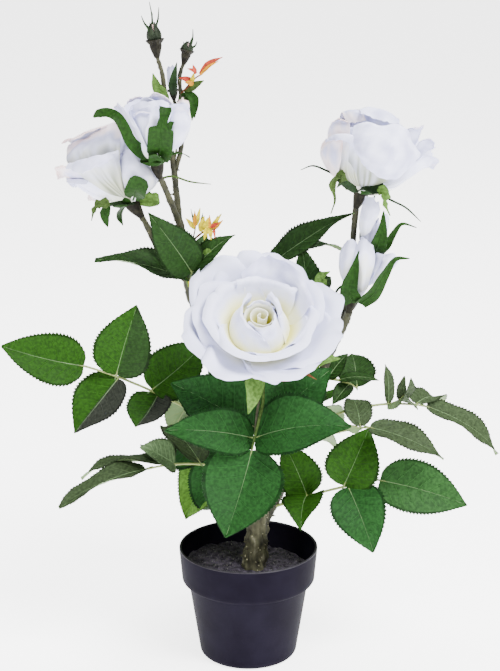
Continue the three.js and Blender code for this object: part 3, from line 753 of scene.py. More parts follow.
def add_warts(mesh, path, radii, pitch, size, finish, rng, sharp=1.0):
    """Small bumps or thorns, one in about every pitch of the path, on sides taken at random."""
    one, two = rings_along(path)
    lengths = np.concatenate([[0], np.cumsum(np.linalg.norm(np.diff(path, axis=0), axis=1))])
    for _ in range(int(lengths[-1] / pitch)):
        k = int(np.searchsorted(lengths, rng.uniform(0.02, 0.98) * lengths[-1])) - 1
        angle = rng.uniform(0, 2 * math.pi)
        out = math.cos(angle) * one[k] + math.sin(angle) * two[k]
        grow = size * rng.uniform(0.6, 1.3)
        foot = path[k] + out * (radii[k] - 0.15 * grow)
        lean = unit(path[k + 1] - path[k]) * grow * 0.4 * rng.uniform(-1, 1)
        add_spike(mesh, foot, foot + out * grow * sharp + lean, grow * 0.55, finish=finish)


def add_limbs():
    rng = np.random.default_rng(7)
    stems = Joined("stem", "wart")
    for seed, (name, (through, first, last)) in enumerate(LIMBS.items()):
        if name == "trunk":
            continue
        path = curve_through(through, 14)
        radii = np.linspace(first, last, len(path))
        add_tube(stems, path, radii, sides=14, relief=knobbly(0.05 * first + 0.08, 4.5, seed))
        add_warts(stems, path, radii, 7, 0.8, "wart", rng)
        add_warts(stems, path, radii, 22, 2.0, "stem", rng, sharp=1.4)
    stems.make("stems", [name for name in LIMBS if name != "trunk"])


def add_trunk():
    through, first, last = LIMBS["trunk"]
    path = curve_through(through, 30)
    path = np.vstack([path, path[-1] + (path[-1] - path[-2]) * np.array([[1], [2], [3]])])
    radii = np.linspace(first, last, len(path))
    radii[-3:] *= (0.9, 0.7, 0.35)
    trunk = Joined("bark", "wart")
    add_tube(trunk, path, radii, TRUNK_SIDES, relief=furrowed)
    rng = np.random.default_rng(5)
    add_warts(trunk, path, radii, 0.55, 1.1, "wart", rng, sharp=0.9)
    add_warts(trunk, path, radii, 2.6, 2.6, "bark", rng, sharp=1.3)
    trunk.make("trunk_bark", ["trunk"])


def pot_profile():
    """The pot's wall, from the middle of its underside, over the lip and down to the middle of its floor."""
    top, top_height = BODY_TOP
    collar, collar_height = COLLAR_FOOT
    lip, lip_height = COLLAR_TOP
    corner = [(FOOT_RADIUS + FOOT_CORNER * math.sin(a), FOOT_CORNER * (1 - math.cos(a)))
              for a in np.linspace(0, math.pi / 2, 8)]
    shoulder = [
        (top - 0.1, top_height - 0.6), (top + 0.6, top_height + 0.1), (top + 3.6, top_height + 1.8),
        (collar - 0.6, collar_height - 3.2), (collar - 0.1, collar_height - 2.2),
        (collar + 0.1, collar_height), (lip, lip_height - 1.2),
    ]
    rolled = [(lip - 0.85 + 0.95 * math.cos(a), POT_HEIGHT - 0.9 + 0.9 * math.sin(a))
              for a in np.linspace(0, math.pi, 9)]
    inside = [
        (collar - POT_WALL, collar_height + 0.6), (top - POT_WALL, top_height + 0.6),
        (FOOT_RADIUS + FOOT_CORNER - POT_WALL, FOOT_CORNER + 0.6), (FOOT_RADIUS, 2.4), (0.01, 2.4),
    ]
    return [(0.01, 0), (FOOT_RADIUS * 0.6, 0)] + corner + shoulder + rolled + inside


def add_pot():
    pot = Joined("pot", "pot_lip")
    profile = pot_profile()
    add_lathe(pot, profile, (0, 0, 0), UP, (1, 0, 0), POT_SEGMENTS, "pot")
    for i, (below, above) in enumerate(zip(profile, profile[1:])):
        if min(below[1], above[1]) > POT_HEIGHT - 1:
            pot.slots[i * POT_SEGMENTS : (i + 1) * POT_SEGMENTS] = [1] * POT_SEGMENTS
    pot.make("pot_shell", ["pot"], sharp=38)


def fill_height(x, y):
    """The top of the fill: it tilts, is lumpy, and rises a little round the trunk."""
    spots = np.stack([x, y, np.zeros_like(x)], axis=-1).reshape(-1, 3)
    lumps = 0.7 * roughness_at(spots, 14, 31) + 0.35 * roughness_at(spots, 4, 32)
    brim = COLLAR_FOOT[0] - POT_WALL - 0.5
    from_trunk = np.hypot(x - 5, y)
    mound = 2.2 * np.exp(-((from_trunk / 15) ** 2))
    return FILL_LEVEL - FILL_TILT * x / brim + lumps.reshape(x.shape) + mound


def add_fill():
    fill = Joined("fill", "grit", "grit_pale")
    wall = COLLAR_FOOT[0] - POT_WALL
    brim = wall - 0.2
    angles = circle(FILL_SEGMENTS)
    rings = [np.stack([r * np.cos(angles), r * np.sin(angles), np.full_like(angles, z)], -1)
             for r, z in ((0.01, 30), (BODY_TOP[0] - POT_WALL - 0.3, BODY_TOP[1] - 2), (wall - 0.3, 66))]
    radii = np.linspace(0.01, brim, 56)[::-1, None]
    x, y = radii * np.cos(angles), radii * np.sin(angles)
    points = np.concatenate([np.array(rings), np.stack([x, y, fill_height(x, y)], axis=-1)])
    fill.add(points, grid_faces(len(points), FILL_SEGMENTS, closed=True), "fill")
    rng = np.random.default_rng(11)
    for _ in range(GRAINS):
        radius, angle = brim * math.sqrt(rng.uniform(0.02, 0.97)), rng.uniform(0, 2 * math.pi)
        x, y = radius * math.cos(angle), radius * math.sin(angle)
        size = rng.uniform(0.35, 1.05)
        foot = np.array([x, y, fill_height(np.array([x]), np.array([y]))[0] - 0.3 * size])
        tip = foot + size * np.array([rng.uniform(-0.5, 0.5), rng.uniform(-0.5, 0.5), rng.uniform(0.8, 1.5)])
        pale = rng.uniform() < (0.16 if x < -12 else 0.07)
        add_spike(fill, foot, tip, size * rng.uniform(0.5, 0.8), 5, "grit_pale" if pale else "grit")
    fill.make("fill_grit", ["pot_fill"])

# ---- roses and buds ------------------------------------------------------------------------------

PETAL_THICK = 0.5
PETAL_ROWS, PETAL_COLUMNS = 26, 25

# What each kind of petal is like, in millimetres on a rose of size 1. foot is the radius and height
# along the axis where it starts. lean is its angle from the axis at its foot, middle and shoulder.
# Its last share, rim, turns outward by curl degrees more. wrap is 1 where it follows a circle round the
# axis and 0 where it is flat. cup raises its sides, side turns its side edges outward, skew lets it
# overlap the next one, shoulder rounds its upper corners, point draws out its tip and ruffle makes it wavy.
# tint is its colour at the rim and at the foot, and how far up the foot's reaches where that differs. A rim
# tint below 0.5 runs toward the lavender, a painted shade.
PETALS = {
    "heart": dict(foot=(3, 26), length=33, width=26, lean=(14, 4, -4), rim=0.14, curl=55, wrap=1.0, cup=0.0,
                  side=0.0, skew=1.6, shoulder=0.16, point=0.0, ruffle=0.4, tint=(0.62, 1.0)),
    "barrel": dict(foot=(4, 24), length=38, width=60, lean=(70, 6, -40), rim=0.08, curl=30, wrap=1.0, cup=0.0,
                   side=0.0, skew=1.6, shoulder=0.14, point=0.0, ruffle=0.5, tint=(0.5, 0.9)),
    "cup": dict(foot=(5, 11), length=55, width=64, lean=(72, 48, 14), rim=0.17, curl=120, wrap=0.95, cup=0.02,
                side=0.06, skew=2.5, shoulder=0.16, point=0.03, ruffle=1.1, tint=(0.46, 1.0, 0.82)),
    "spread": dict(foot=(5, 9), length=62, width=70, lean=(78, 64, 50), rim=0.18, curl=70, wrap=0.8, cup=0.03,
                   side=0.1, skew=3.0, shoulder=0.18, point=0.04, ruffle=2.5, tint=(0.45, 0.7)),
    "wall": dict(foot=(4, 12), length=60, width=62, lean=(52, 22, 0), rim=0.16, curl=110, wrap=0.95, cup=0.0,
                 side=0.08, skew=2.5, shoulder=0.2, point=0.05, ruffle=1.2, tint=(0.44, 0.66)),
    "bud": dict(foot=(2, 8), length=36, width=22, lean=(26, 6, -14), rim=0.1, curl=20, wrap=1.0, cup=0.0,
                side=0.0, skew=1.2, shoulder=0.35, point=0.06, ruffle=0.3, tint=(0.38, 0.6)),
}

# Each rose: its size, then its petals from the heart outward: kind, azimuth in degrees (0 to the right,
# 90 up or back, 270 down or to the front) and what differs from its kind.
ROSES = {
    "rose_front": (1.0, [
        ("cup", 186, dict(width=78, length=52)), ("cup", 258, dict(width=72, length=49, lean=(68, 44, 10))),
        ("cup", 322, dict(width=70, length=50)), ("cup", 6, dict(width=56, length=50)),
        ("cup", 144, dict(width=54, length=51, lean=(68, 44, 14))),
        ("spread", 42, dict(length=58, lean=(76, 54, 30))),
        ("spread", 105, dict(length=64, lean=(76, 56, 34))),
        ("spread", 165, dict(length=56, lean=(76, 56, 36))),
        ("spread", 345, dict(length=62, lean=(76, 58, 40))),
        ("spread", 80, dict(length=66, lean=(76, 58, 42), point=0.02)), ("spread", 18, dict(length=66)),
        ("spread", 130, dict(length=68, lean=(76, 60, 46))), ("spread", 192, dict(length=58)),
        ("spread", 232, dict(length=58.5, width=48, shoulder=0.32)),
        ("spread", 285, dict(length=48, width=42, curl=110, shoulder=0.34)),
        ("spread", 314, dict(length=57, width=68)),
    ]),
    "rose_left": (1.0, [
        ("heart", 40, {}), ("heart", 160, {}), ("heart", 280, {}), ("barrel", 90, {}), ("barrel", 270, {}),
        ("wall", 60, dict(length=58, lean=(62, 20, -8))), ("wall", 130, dict(length=58)),
        ("wall", 15, dict(length=54, lean=(76, 24, -12))), ("wall", 165, dict(length=54)),
        ("wall", 95, dict(length=62, width=76)),
    ]),
    "rose_upper": (0.82, [
        ("heart", 40, dict(tint=(0.5, 0.5))), ("heart", 160, dict(tint=(0.5, 0.5))),
        ("barrel", 90, dict(tint=(0.5, 0.5))),
        ("wall", 90, dict(foot=(4, 18), length=58, lean=(60, 8, -30), curl=30, width=76)),
        ("wall", 150, dict(foot=(4, 18), length=56, lean=(62, 10, -12), curl=60)),
        ("wall", 30, dict(foot=(4, 18), length=54, lean=(76, 8, -26), curl=20)),
    ]),
    "rose_right": (1.05, [
        ("heart", 40, {}), ("heart", 160, {}), ("heart", 280, {}), ("barrel", 90, {}), ("barrel", 270, {}),
        ("wall", 60, dict(length=60, lean=(76, 22, -6))), ("wall", 130, dict(length=58, lean=(76, 20, -10))),
        ("wall", 95, dict(length=62, lean=(76, 18, -4), width=74)),
        ("wall", 25, dict(length=60, lean=(80, 30, 4))), ("wall", 165, dict(length=54, lean=(80, 20, -16))),
    ]),
    "bud_low_right": (0.95, [
        ("bud", 100, {}), ("bud", 220, {}), ("bud", 330, {}),
        ("bud", 270, dict(lean=(34, 8, -16), width=30, length=38)),
        ("bud", 170, dict(lean=(36, 12, -8), length=35)), ("bud", 20, dict(lean=(38, 16, 4), length=30)),
        ("bud", 60, dict(lean=(34, 12, -8), length=34)),
    ]),
    "bud_side_right": (0.78, [
        ("bud", 90, {}), ("bud", 210, {}), ("bud", 330, {}), ("bud", 180, dict(lean=(34, 8, -16), width=28)),
        ("bud", 0, dict(lean=(34, 10, -12), width=26)),
    ]),
    "bud_back_left": (0.55, [
        ("bud", 0, {}), ("bud", 120, {}), ("bud", 240, {}), ("bud", 300, dict(width=26)),
    ]),
}

# Petals laid one by one on the side roses, where their own shape shows: the tint at the rim and at the foot,
# the shade at the foot and how far up it reaches, then rows from the foot to the rim. A row holds three
# numbers a point: its pixel across and down the camera's picture, and its y in millimetres.
# A lavender rim tint and the shade at the foot are both painted shade.
LAID_PETALS = {
    "rose_left": {
        "right_front": ((0.38, 0.56, 0.35, 0.7), [
            (129, 199, -4, 131, 200, -6, 134, 201, -7, 137, 200, -6, 140, 197, -4),
            (119, 188, -14, 126, 190, -20, 134, 192, -22, 144, 192, -18, 154, 187, -6),
            (117, 174, -20, 124, 175, -27, 134, 176, -29, 147, 178, -24, 158, 178, -6),
            (119, 163, -20, 125, 162, -27, 133, 162, -28, 142, 165, -22, 152, 169, -6),
            (122, 153, -14, 126, 150, -18, 132, 150, -19, 138, 154, -14, 144, 160, -4),
        ]),
        "left_front": ((0.44, 0.66, 0.85, 0.95), [
            (125, 199, -3, 126, 200, -5, 127, 200, -7, 129, 200, -8, 131, 200, -8),
            (105, 195, -8, 111, 192, -18, 117, 189, -22, 121, 188, -24, 124, 187, -22),
            (90, 184, -12, 98, 181, -24, 107, 178, -29, 115, 174, -30, 121, 172, -27),
            (78, 172, -18, 89, 170, -28, 100, 166, -33, 109, 162, -33, 119, 158, -28),
            (70, 163, -22, 82, 160, -32, 94, 157, -36, 105, 154, -36, 118, 150, -29),
            (66, 168, -24, 80, 172, -38, 92, 169, -42, 102, 165, -41, 113, 158, -33),
        ]),
        "left_dome": ((0.14, 0.60, 0.5, 0.9), [
            (74, 170, -12, 86, 170, -20, 97, 168, -25, 108, 164, -26, 120, 160, -22),
            (67, 161, -10, 80, 157, -20, 93, 153, -25, 106, 149, -26, 120, 146, -22),
            (67, 152, -6, 78, 147, -14, 91, 142, -18, 105, 137, -19, 121, 134, -16),
            (72, 146, 0, 80, 140, -4, 91, 135, -8, 104, 129, -10, 119, 122, -8),
        ]),
        "upper_tip": ((0.08, 0.30, 0.15, 0.8), [
            (84, 156, 2, 92, 152, 0, 102, 148, -2, 114, 142, -2),
            (74, 146, 4, 86, 141, 0, 98, 136, -4, 113, 130, -5),
            (68, 141, 0, 80, 136, -4, 93, 130, -8, 109, 124, -8),
            (61, 144, -8, 73, 138, -13, 88, 132, -15, 106, 125, -14),
        ]),
        "low_tip": ((0.08, 0.20, 0.2, 0.8), [
            (122, 200, 4, 121, 199, -2, 120, 197, -8),
            (98, 194, 4, 96, 188, -6, 100, 182, -14),
            (80, 185, 4, 78, 178, -10, 84, 173, -18),
            (65, 177, 0, 65, 171, -12, 72, 168, -20),
            (57, 178, -4, 55, 168, -14, 61, 166, -22),
        ]),
        "lowest": ((0.10, 0.38, 0.0, 0.6), [
            (126, 201, 6, 125, 201, 0, 124, 199, -3),
            (110, 201, 8, 108, 198, 2, 108, 194, -3),
            (97, 201, 10, 95, 196, 4, 97, 191, 0),
            (88, 200, 8, 88, 196, 2, 92, 192, -2),
        ]),
    },
    "rose_upper": {
        "back_dome": ((0.22, 0.50, 0.0, 0.6), [
            (148, 152, -17, 151, 153, -16, 154, 153, -15, 157, 153, -16, 160, 152, -17),
            (126, 124, -18, 134, 122, -12, 145, 121, -10, 157, 120, -11, 169, 124, -16),
            (124, 108, -16, 132, 104, -12, 144, 102, -10, 158, 101, -11, 173, 110, -15),
            (127, 102, -24, 133, 98, -20, 144, 96, -18, 158, 94, -19, 174, 104, -22),
        ]),
        "left_edge": ((0.34, 0.50, 0.2, 0.6), [
            (148, 157, -17, 150, 158, -19, 152, 158, -20),
            (134, 141, -28, 138, 138, -37, 143, 139, -43),
            (124, 126, -28, 129, 122, -39, 135, 123, -45),
            (117, 111, -26, 121, 109, -35, 127, 112, -41),
            (114, 107, -30, 117, 104, -38, 122, 107, -45),
        ]),
        "front_inner": ((0.44, 0.50, 0.3, 0.6), [
            (149, 157, -17, 151, 158, -19, 154, 158, -20, 157, 158, -19, 160, 156, -17),
            (137, 136, -33, 143, 137, -40, 149, 137, -43, 156, 137, -42, 165, 138, -35),
            (132, 122, -33, 140, 122, -40, 149, 121, -43, 158, 121, -41, 169, 124, -34),
            (130, 112, -29, 139, 109, -35, 149, 107, -38, 160, 106, -36, 171, 111, -28),
        ]),
        "behind_inner": ((0.46, 0.52, 0.0, 0.6), [
            (149, 154, -17, 151, 155, -18, 154, 155, -19, 157, 155, -18, 160, 154, -17),
            (128, 120, -24, 137, 119, -30, 149, 118, -33, 161, 118, -31, 172, 121, -24),
            (127, 108, -21, 137, 103, -26, 150, 101, -28, 163, 100, -26, 174, 109, -20),
        ]),
        "valley": ((0.34, 0.40, 0.35, 0.9), [
            (150, 157, -19, 152, 158, -20, 154, 157, -20),
            (138, 135, -38, 143, 136, -42, 148, 135, -42),
            (134, 120, -39, 141, 119, -43, 149, 119, -43),
            (133, 114, -37, 141, 112, -41, 150, 113, -41),
            (133, 116, -42, 141, 114, -46, 150, 115, -45),
        ]),
        "right_oval": ((0.36, 0.50, 0.1, 0.6), [
            (156, 157, -18, 159, 157, -20, 162, 156, -20, 164, 155, -17),
            (166, 146, -30, 173, 147, -34, 180, 145, -30, 185, 140, -22),
            (168, 129, -32, 175, 128, -37, 184, 127, -34, 190, 125, -24),
            (170, 113, -28, 176, 112, -32, 183, 112, -30, 189, 115, -22),
            (172, 106, -24, 177, 104, -26, 182, 104, -24, 186, 107, -18),
        ]),
        "right_back": ((0.10, 0.30, 0.0, 0.6), [
            (175, 128, -8, 182, 127, -8, 187, 124, -8),
            (176, 110, -8, 183, 108, -11, 189, 109, -8),
            (178, 100, -6, 183, 97, -9, 188, 101, -6),
        ]),
    },
    "rose_right": {
        "front_flap": ((0.40, 0.50, 0.8, 0.42), [
            (358, 189, 0, 361, 190, -3, 365, 191, -4, 369, 191, -3, 373, 189, 0),
            (349, 173, -18, 358, 176, -24, 372, 179, -26, 388, 177, -24, 401, 171, -17),
            (349, 155, -27, 359, 155, -33, 374, 155, -36, 391, 156, -34, 408, 157, -22),
            (351, 138, -29, 360, 137, -36, 374, 136, -39, 391, 137, -37, 408, 140, -27),
            (354, 126, -31, 367, 122, -37, 382, 126, -40, 395, 124, -38, 406, 128, -30),
            (352, 136, -37, 365, 134, -45, 380, 135, -49, 397, 136, -47, 413, 143, -36),
            (354, 148, -40, 366, 153, -50, 380, 156, -54, 399, 155, -51, 421, 154, -38),
            (360, 160, -38, 369, 171, -47, 382, 179, -50, 397, 178, -48, 416, 162, -38),
        ]),
        "peach": ((0.06, 0.10, 0.10, 0.6), [
            (352, 188, 3, 355, 189, 0, 358, 190, -3),
            (329, 172, -2, 334, 174, -14, 339, 175, -20),
            (321, 156, 0, 330, 158, -18, 341, 159, -27),
            (322, 146, 0, 331, 145, -18, 342, 145, -28),
            (327, 139, -2, 335, 137, -18, 344, 137, -28),
        ]),
        "shadowed": ((0.60, 0.70, 0.8, 1.0), [
            (355, 189, 1, 358, 190, -2, 361, 190, -4),
            (337, 172, -15, 346, 174, -20, 357, 175, -24),
            (338, 156, -20, 346, 157, -24, 357, 158, -29),
            (340, 142, -22, 347, 142, -26, 357, 142, -30),
        ]),
        "left_lip": ((0.36, 0.46, 0.0, 0.6), [
            (326, 143, -3, 334, 139, -20, 345, 138, -28, 357, 140, -33),
            (326, 140, -6, 334, 135, -26, 346, 134, -35, 358, 137, -40),
            (327, 142, -8, 335, 140, -29, 347, 142, -39, 357, 151, -43),
        ]),
        "upper_left": ((0.12, 0.20, 0.0, 0.6), [
            (328, 141, -3, 338, 140, -12, 350, 139, -20),
            (328, 132, -2, 338, 130, -11, 350, 130, -18),
            (332, 122, -2, 341, 119, -8, 349, 119, -14),
            (336, 120, -7, 342, 121, -13, 348, 123, -16),
        ]),
        "curled_left": ((0.20, 0.36, 0.0, 0.6), [
            (340, 127, -3, 347, 127, -7, 356, 127, -11),
            (340, 116, -4, 347, 112, -8, 356, 110, -12),
            (343, 113, -11, 351, 111, -15, 363, 113, -18),
            (346, 121, -14, 355, 123, -18, 366, 120, -20),
        ]),
        "top_dome": ((0.42, 0.50, 0.0, 0.6), [
            (352, 135, -14, 362, 133, -18, 375, 133, -20, 388, 133, -20, 400, 133, -16),
            (355, 120, -10, 363, 116, -11, 375, 116, -12, 388, 118, -12, 399, 126, -11),
            (359, 110, -13, 367, 107, -14, 378, 109, -15, 387, 111, -15, 398, 120, -13),
            (361, 114, -22, 369, 115, -24, 380, 119, -25, 389, 121, -24, 399, 124, -19),
        ]),
        "right_high": ((0.30, 0.42, 0.0, 0.6), [
            (400, 150, -8, 406, 150, -8, 412, 150, -6),
            (404, 138, -10, 411, 137, -9, 418, 140, -6),
            (407, 129, -12, 416, 130, -9, 421, 132, -5),
            (410, 127, -14, 418, 128, -10, 426, 124, -3),
        ]),
        "right_middle": ((0.32, 0.44, 0.0, 0.6), [
            (408, 160, -8, 413, 160, -8, 418, 160, -6),
            (415, 149, -10, 422, 149, -8, 426, 152, -4),
            (420, 141, -11, 428, 142, -8, 432, 149, -3),
            (424, 139, -12, 433, 140, -8, 435, 146, -3),
        ]),
        "right_low": ((0.34, 0.48, 0.3, 0.6), [
            (364, 190, 0, 369, 191, -3, 374, 190, -2),
            (394, 176, -18, 398, 182, -20, 396, 187, -14),
            (411, 165, -22, 413, 172, -22, 409, 178, -14),
            (425, 156, -20, 430, 163, -18, 427, 168, -12),
            (434, 157, -14, 438, 162, -12, 434, 169, -8),
        ]),
    },
    "bud_low_right": {
        "main": ((0.40, 0.60, 0.35, 0.6), [
            (357, 291, -12, 362, 291, -15, 367, 289, -13),
            (356, 276, -17, 363, 276, -21, 371, 275, -17),
            (355, 259, -17, 363, 258, -21, 375, 261, -16),
            (356, 246, -12, 363, 241, -15, 374, 251, -12),
            (358, 241, -7, 363, 237, -9, 371, 246, -8),
        ]),
        "left": ((0.40, 0.60, 0.0, 0.6), [
            (346, 287, -8, 350, 288, -11, 355, 287, -12),
            (340, 273, -5, 346, 272, -13, 356, 271, -15),
            (340, 256, -4, 347, 255, -12, 358, 254, -14),
            (344, 243, -4, 350, 240, -9, 357, 242, -10),
        ]),
        "right": ((0.36, 0.55, 0.0, 0.6), [
            (368, 286, -8, 372, 284, -10, 376, 282, -8),
            (377, 271, -6, 381, 272, -10, 386, 273, -6),
            (382, 261, -6, 388, 263, -9, 394, 267, -5),
            (385, 254, -4, 393, 255, -5, 397, 262, -3),
        ]),
        "behind": ((0.38, 0.55, 0.0, 0.6), [
            (366, 284, 0, 372, 282, -2, 378, 280, 0),
            (372, 266, 0, 379, 265, -4, 385, 266, 0),
            (375, 256, 0, 381, 254, -3, 386, 257, 0),
        ]),
    },
    "bud_side_right": {
        "left": ((0.36, 0.55, 0.0, 0.6), [
            (361, 236, 0, 365, 235, -3, 370, 232, -3),
            (359, 224, 1, 366, 222, -5, 376, 220, -3),
            (362, 208, 2, 369, 206, -4, 380, 210, -2),
            (366, 197, 3, 371, 196, 0, 378, 204, 1),
        ]),
        "right": ((0.40, 0.55, 0.0, 0.6), [
            (378, 240, 2, 382, 238, 0, 386, 236, 2),
            (380, 226, 2, 385, 225, -1, 389, 224, 2),
            (382, 217, 3, 386, 215, 1, 389, 218, 3),
        ]),
    },
}

# The petals round the heart of the front rose: the same four numbers, then rows of azimuths, radii from the
# axis and heights along it. A single number holds for the whole row.
HEART_PETALS = {
    "back": ((0.5, 0.85, 0.0, 0.6), [
        ((150, 120, 90, 60, 30), 8, 13),
        ((150, 120, 90, 60, 30), 17, 20),
        ((150, 120, 90, 60, 30), (16, 15, 15, 15, 16), 32),
        ((150, 120, 90, 60, 30), (12, 11.6, 11.6, 11.6, 12), 41),
        ((150, 120, 90, 60, 30), (11.5, 11.5, 12, 12, 12), (44, 45, 45.5, 45, 44)),
    ]),
    "front": ((0.5, 0.85, 0.0, 0.6), [
        ((220, 265, 310, 355, 40), 8, 13),
        ((220, 265, 310, 355, 40), (19, 20, 21, 19, 17), 20),
        ((220, 265, 310, 355, 40), (18, 19, 20, 17, 15), (31, 31, 31, 32, 32)),
        ((220, 265, 310, 355, 40), (13.5, 14, 14, 11.6, 11.4), (41, 41, 40.5, 41, 42)),
        ((220, 265, 310, 355, 40), (11.6, 12, 11.8, 10.2, 10.8), (45, 45, 44, 44.6, 45)),
    ]),
    "right": ((0.42, 0.8, 0.0, 0.6), [
        ((82, 45, 10, -32), 9, 13),
        ((82, 45, 10, -32), (20, 22, 22, 21.6), (20, 20, 20, 19)),
        ((80, 45, 10, -30), (20, 20, 20, 20.1), (33, 33, 32, 29)),
        ((74, 45, 12, -24), (14.5, 13.2, 13, 15.5), (45, 45, 43, 36)),
        ((68, 44, 14, -14), (14.2, 12.6, 12.6, 13.2), (51, 51, 48, 42)),
        ((64, 43, 13, -13), (17.4, 15.6, 14.8, 14.8), (51, 51, 48, 41.5)),
    ]),
    "left": ((0.42, 0.8, 0.0, 0.6), [
        ((115, 160, 205, 250, 292), 9, 13),
        ((115, 160, 205, 250, 292), (21, 22, 23, 23, 22), (20, 20, 20, 19, 18)),
        ((115, 160, 205, 250, 292), (21, 21.5, 22, 22, 22), (32, 32, 31, 29, 26)),
        ((116, 160, 205, 250, 287), (16.5, 16, 16, 17.5, 20), (43, 43, 42, 38, 32)),
        ((118, 163, 205, 250, 282), (16, 14, 14, 15.6, 18), (48, 49, 47, 43, 36)),
        ((119, 163, 205, 250, 282), (17.5, 15.6, 15.6, 17, 19.4), (48.5, 49.5, 47.5, 43.5, 36.5)),
    ]),
    "rear": ((0.46, 1.0, 0.0, 0.6), [
        ((128, 98, 65, 32), 6, 11),
        ((128, 98, 65, 32), 18, 16),
        ((128, 98, 65, 32), (27, 26, 26, 27), 27),
        ((126, 97, 65, 35), (31, 29, 29, 31), (38, 38, 37, 38)),
        ((123, 96, 65, 38), (32.5, 30.5, 30, 33), (46, 45, 44, 44)),
        ((122, 95, 65, 40), (35, 33, 32.5, 36), (47, 46, 45, 45)),
    ]),
    "folded": ((0.38, 0.8, 0.0, 0.6), [
        ((112, 88, 70, 45, 12), 6, 11),
        ((114, 88, 70, 45, 10), (18, 20, 20, 20, 19), 18),
        ((115, 88, 70, 45, 10), (27, 30, 31, 31, 30), (30, 28, 28, 29, 30)),
        ((115, 89, 71, 48, 10), (31, 38, 40, 37, 35), (42, 39, 39, 40, 42)),
        ((115, 89, 72, 50, 11), (33, 45, 47, 42, 38), (48, 46, 48, 48, 47)),
        ((115, 89, 72, 50, 11), (36, 48, 46, 45, 41), (50, 51, 55, 49, 47)),
    ]),
}

# A laid petal's faces from side to side, and from one of its rows to the next.
LAID_COLUMNS, LAID_STEPS = 24, 6
# The spiral's foot and top along the axis on a rose of size 1, its turns and its tint.
SPIRAL_FOOT, SPIRAL_TOP = 22, 43.5
SPIRAL_TURNS = 2.5
SPIRAL_TINT = 0.66
# The front rose opens further up than its hip points.
OPEN_AXIS = ((8, -18, 260), (10, -56, 308))


class Axis:
    """A bloom's own directions: forward along its axis, right, and back or up."""

    def __init__(self, foot, tip):
        self.foot = np.asarray(foot, float)
        self.length = float(np.linalg.norm(np.subtract(tip, foot)))
        self.forward = unit(np.subtract(tip, foot))
        self.right = square_to(np.array([1.0, 0, 0]), self.forward)
        self.back = np.cross(self.forward, self.right)

    def point(self, out, aside, height, azimuth):
        """The point at a reach and a sideways step from the axis, at a height along it."""
        angle = math.radians(azimuth)
        radial = math.cos(angle) * self.right + math.sin(angle) * self.back
        round_ = np.cross(self.forward, radial)
        out, aside, height = np.broadcast_arrays(out, aside, height)
        return (self.foot + out[..., None] * radial + aside[..., None] * round_
                + height[..., None] * self.forward)


def tint_of(rise, beyond, rim_tint, foot_tint, foot_reach=0.66):
    """The tint from foot to rim: white in the middle, with the rim's tint along the rim and sides, a painted
    shade where that tint is lavender.
    """
    near_side = smoothstep(beyond, 0.6, 1) * smoothstep(rise, 0.3, 0.8)
    near_rim = np.maximum(smoothstep(rise, 0.62, 0.97), near_side)
    tint = 0.5 + (rim_tint - 0.5) * (0.35 + 0.65 * near_rim)
    return tint + (foot_tint - tint) * (1 - smoothstep(rise, foot_reach - 0.45, foot_reach))


# Waves along a petal's rim: their depth, as a share of its length, and how close they are.
RIM_WAVES = ((0.025, 2.5), (0.014, 8), (0.006, 19))


def add_petal(mesh, axis, size, kind, azimuth, changes, seed):
    """A petal of one kind, grown row by row from its foot and then curled round the bloom's axis."""
    p = {**PETALS[kind], **changes}
    rng = np.random.default_rng(seed)
    u = np.linspace(0, 1, PETAL_ROWS)[:, None]
    v = np.linspace(-1, 1, PETAL_COLUMNS)[None, :]
    beyond = np.abs(v)
    reach = 1 - p["shoulder"] * beyond**2.6 + p["point"] * np.clip(1 - beyond / 0.35, 0, 1) ** 1.6
    for depth, pace in RIM_WAVES:
        reach = reach + depth * np.sin(pace * v + rng.uniform(0, 6))
    lean = np.interp(u, (0, 0.45, 1), p["lean"]) + p["curl"] * smoothstep(u, 1 - p["rim"], 1.03)
    lean = np.radians(lean + rng.uniform(-2, 2) + 0 * v)
    step = size * p["length"] * reach / (PETAL_ROWS - 1)
    out = size * p["foot"][0] + np.cumsum(np.sin(lean) * step, axis=0) - np.sin(lean[0]) * step
    height = size * p["foot"][1] + np.cumsum(np.cos(lean) * step, axis=0) - np.cos(lean[0]) * step
    half = size * p["width"] / 2 * (0.24 + 0.76 * np.sin(math.pi / 2 * np.clip(u / 0.62, 0, 1)))
    half = half * (1 - 0.10 * smoothstep(u, 0.7, 1))
    arc = np.maximum(out, 0.45 * half) / max(p["wrap"], 0.05)
    angle = v * half / arc
    aside, inward = arc * np.sin(angle), arc * (1 - np.cos(angle))
    rise = smoothstep(u, 0.15, 0.9)
    lift = -p["cup"] * half * v**2 + p["side"] * half * smoothstep(beyond, 0.6, 1) ** 2 * rise
    lift = lift + size * p["skew"] * v * rise
    phase = rng.uniform(0, 6, 4)
    waves = 0.7 * np.sin(4.2 * v + phase[0]) + 0.5 * np.sin(7.5 * v + 3 * u + phase[1]) * u**2
    lift = lift + size * p["ruffle"] * rise**2 * waves
    ribs = np.sin(26 * v + phase[2] + 2 * np.sin(3 * u + phase[3]))
    lift = lift + 0.06 * size * ribs * rise * (1 - 0.7 * u)
    grid = axis.point(out - inward + lift * np.cos(lean), aside, height - lift * np.sin(lean), azimuth)
    add_shell(mesh, grid, PETAL_THICK, "petal", tint=tint_of(u, beyond, *p["tint"]))


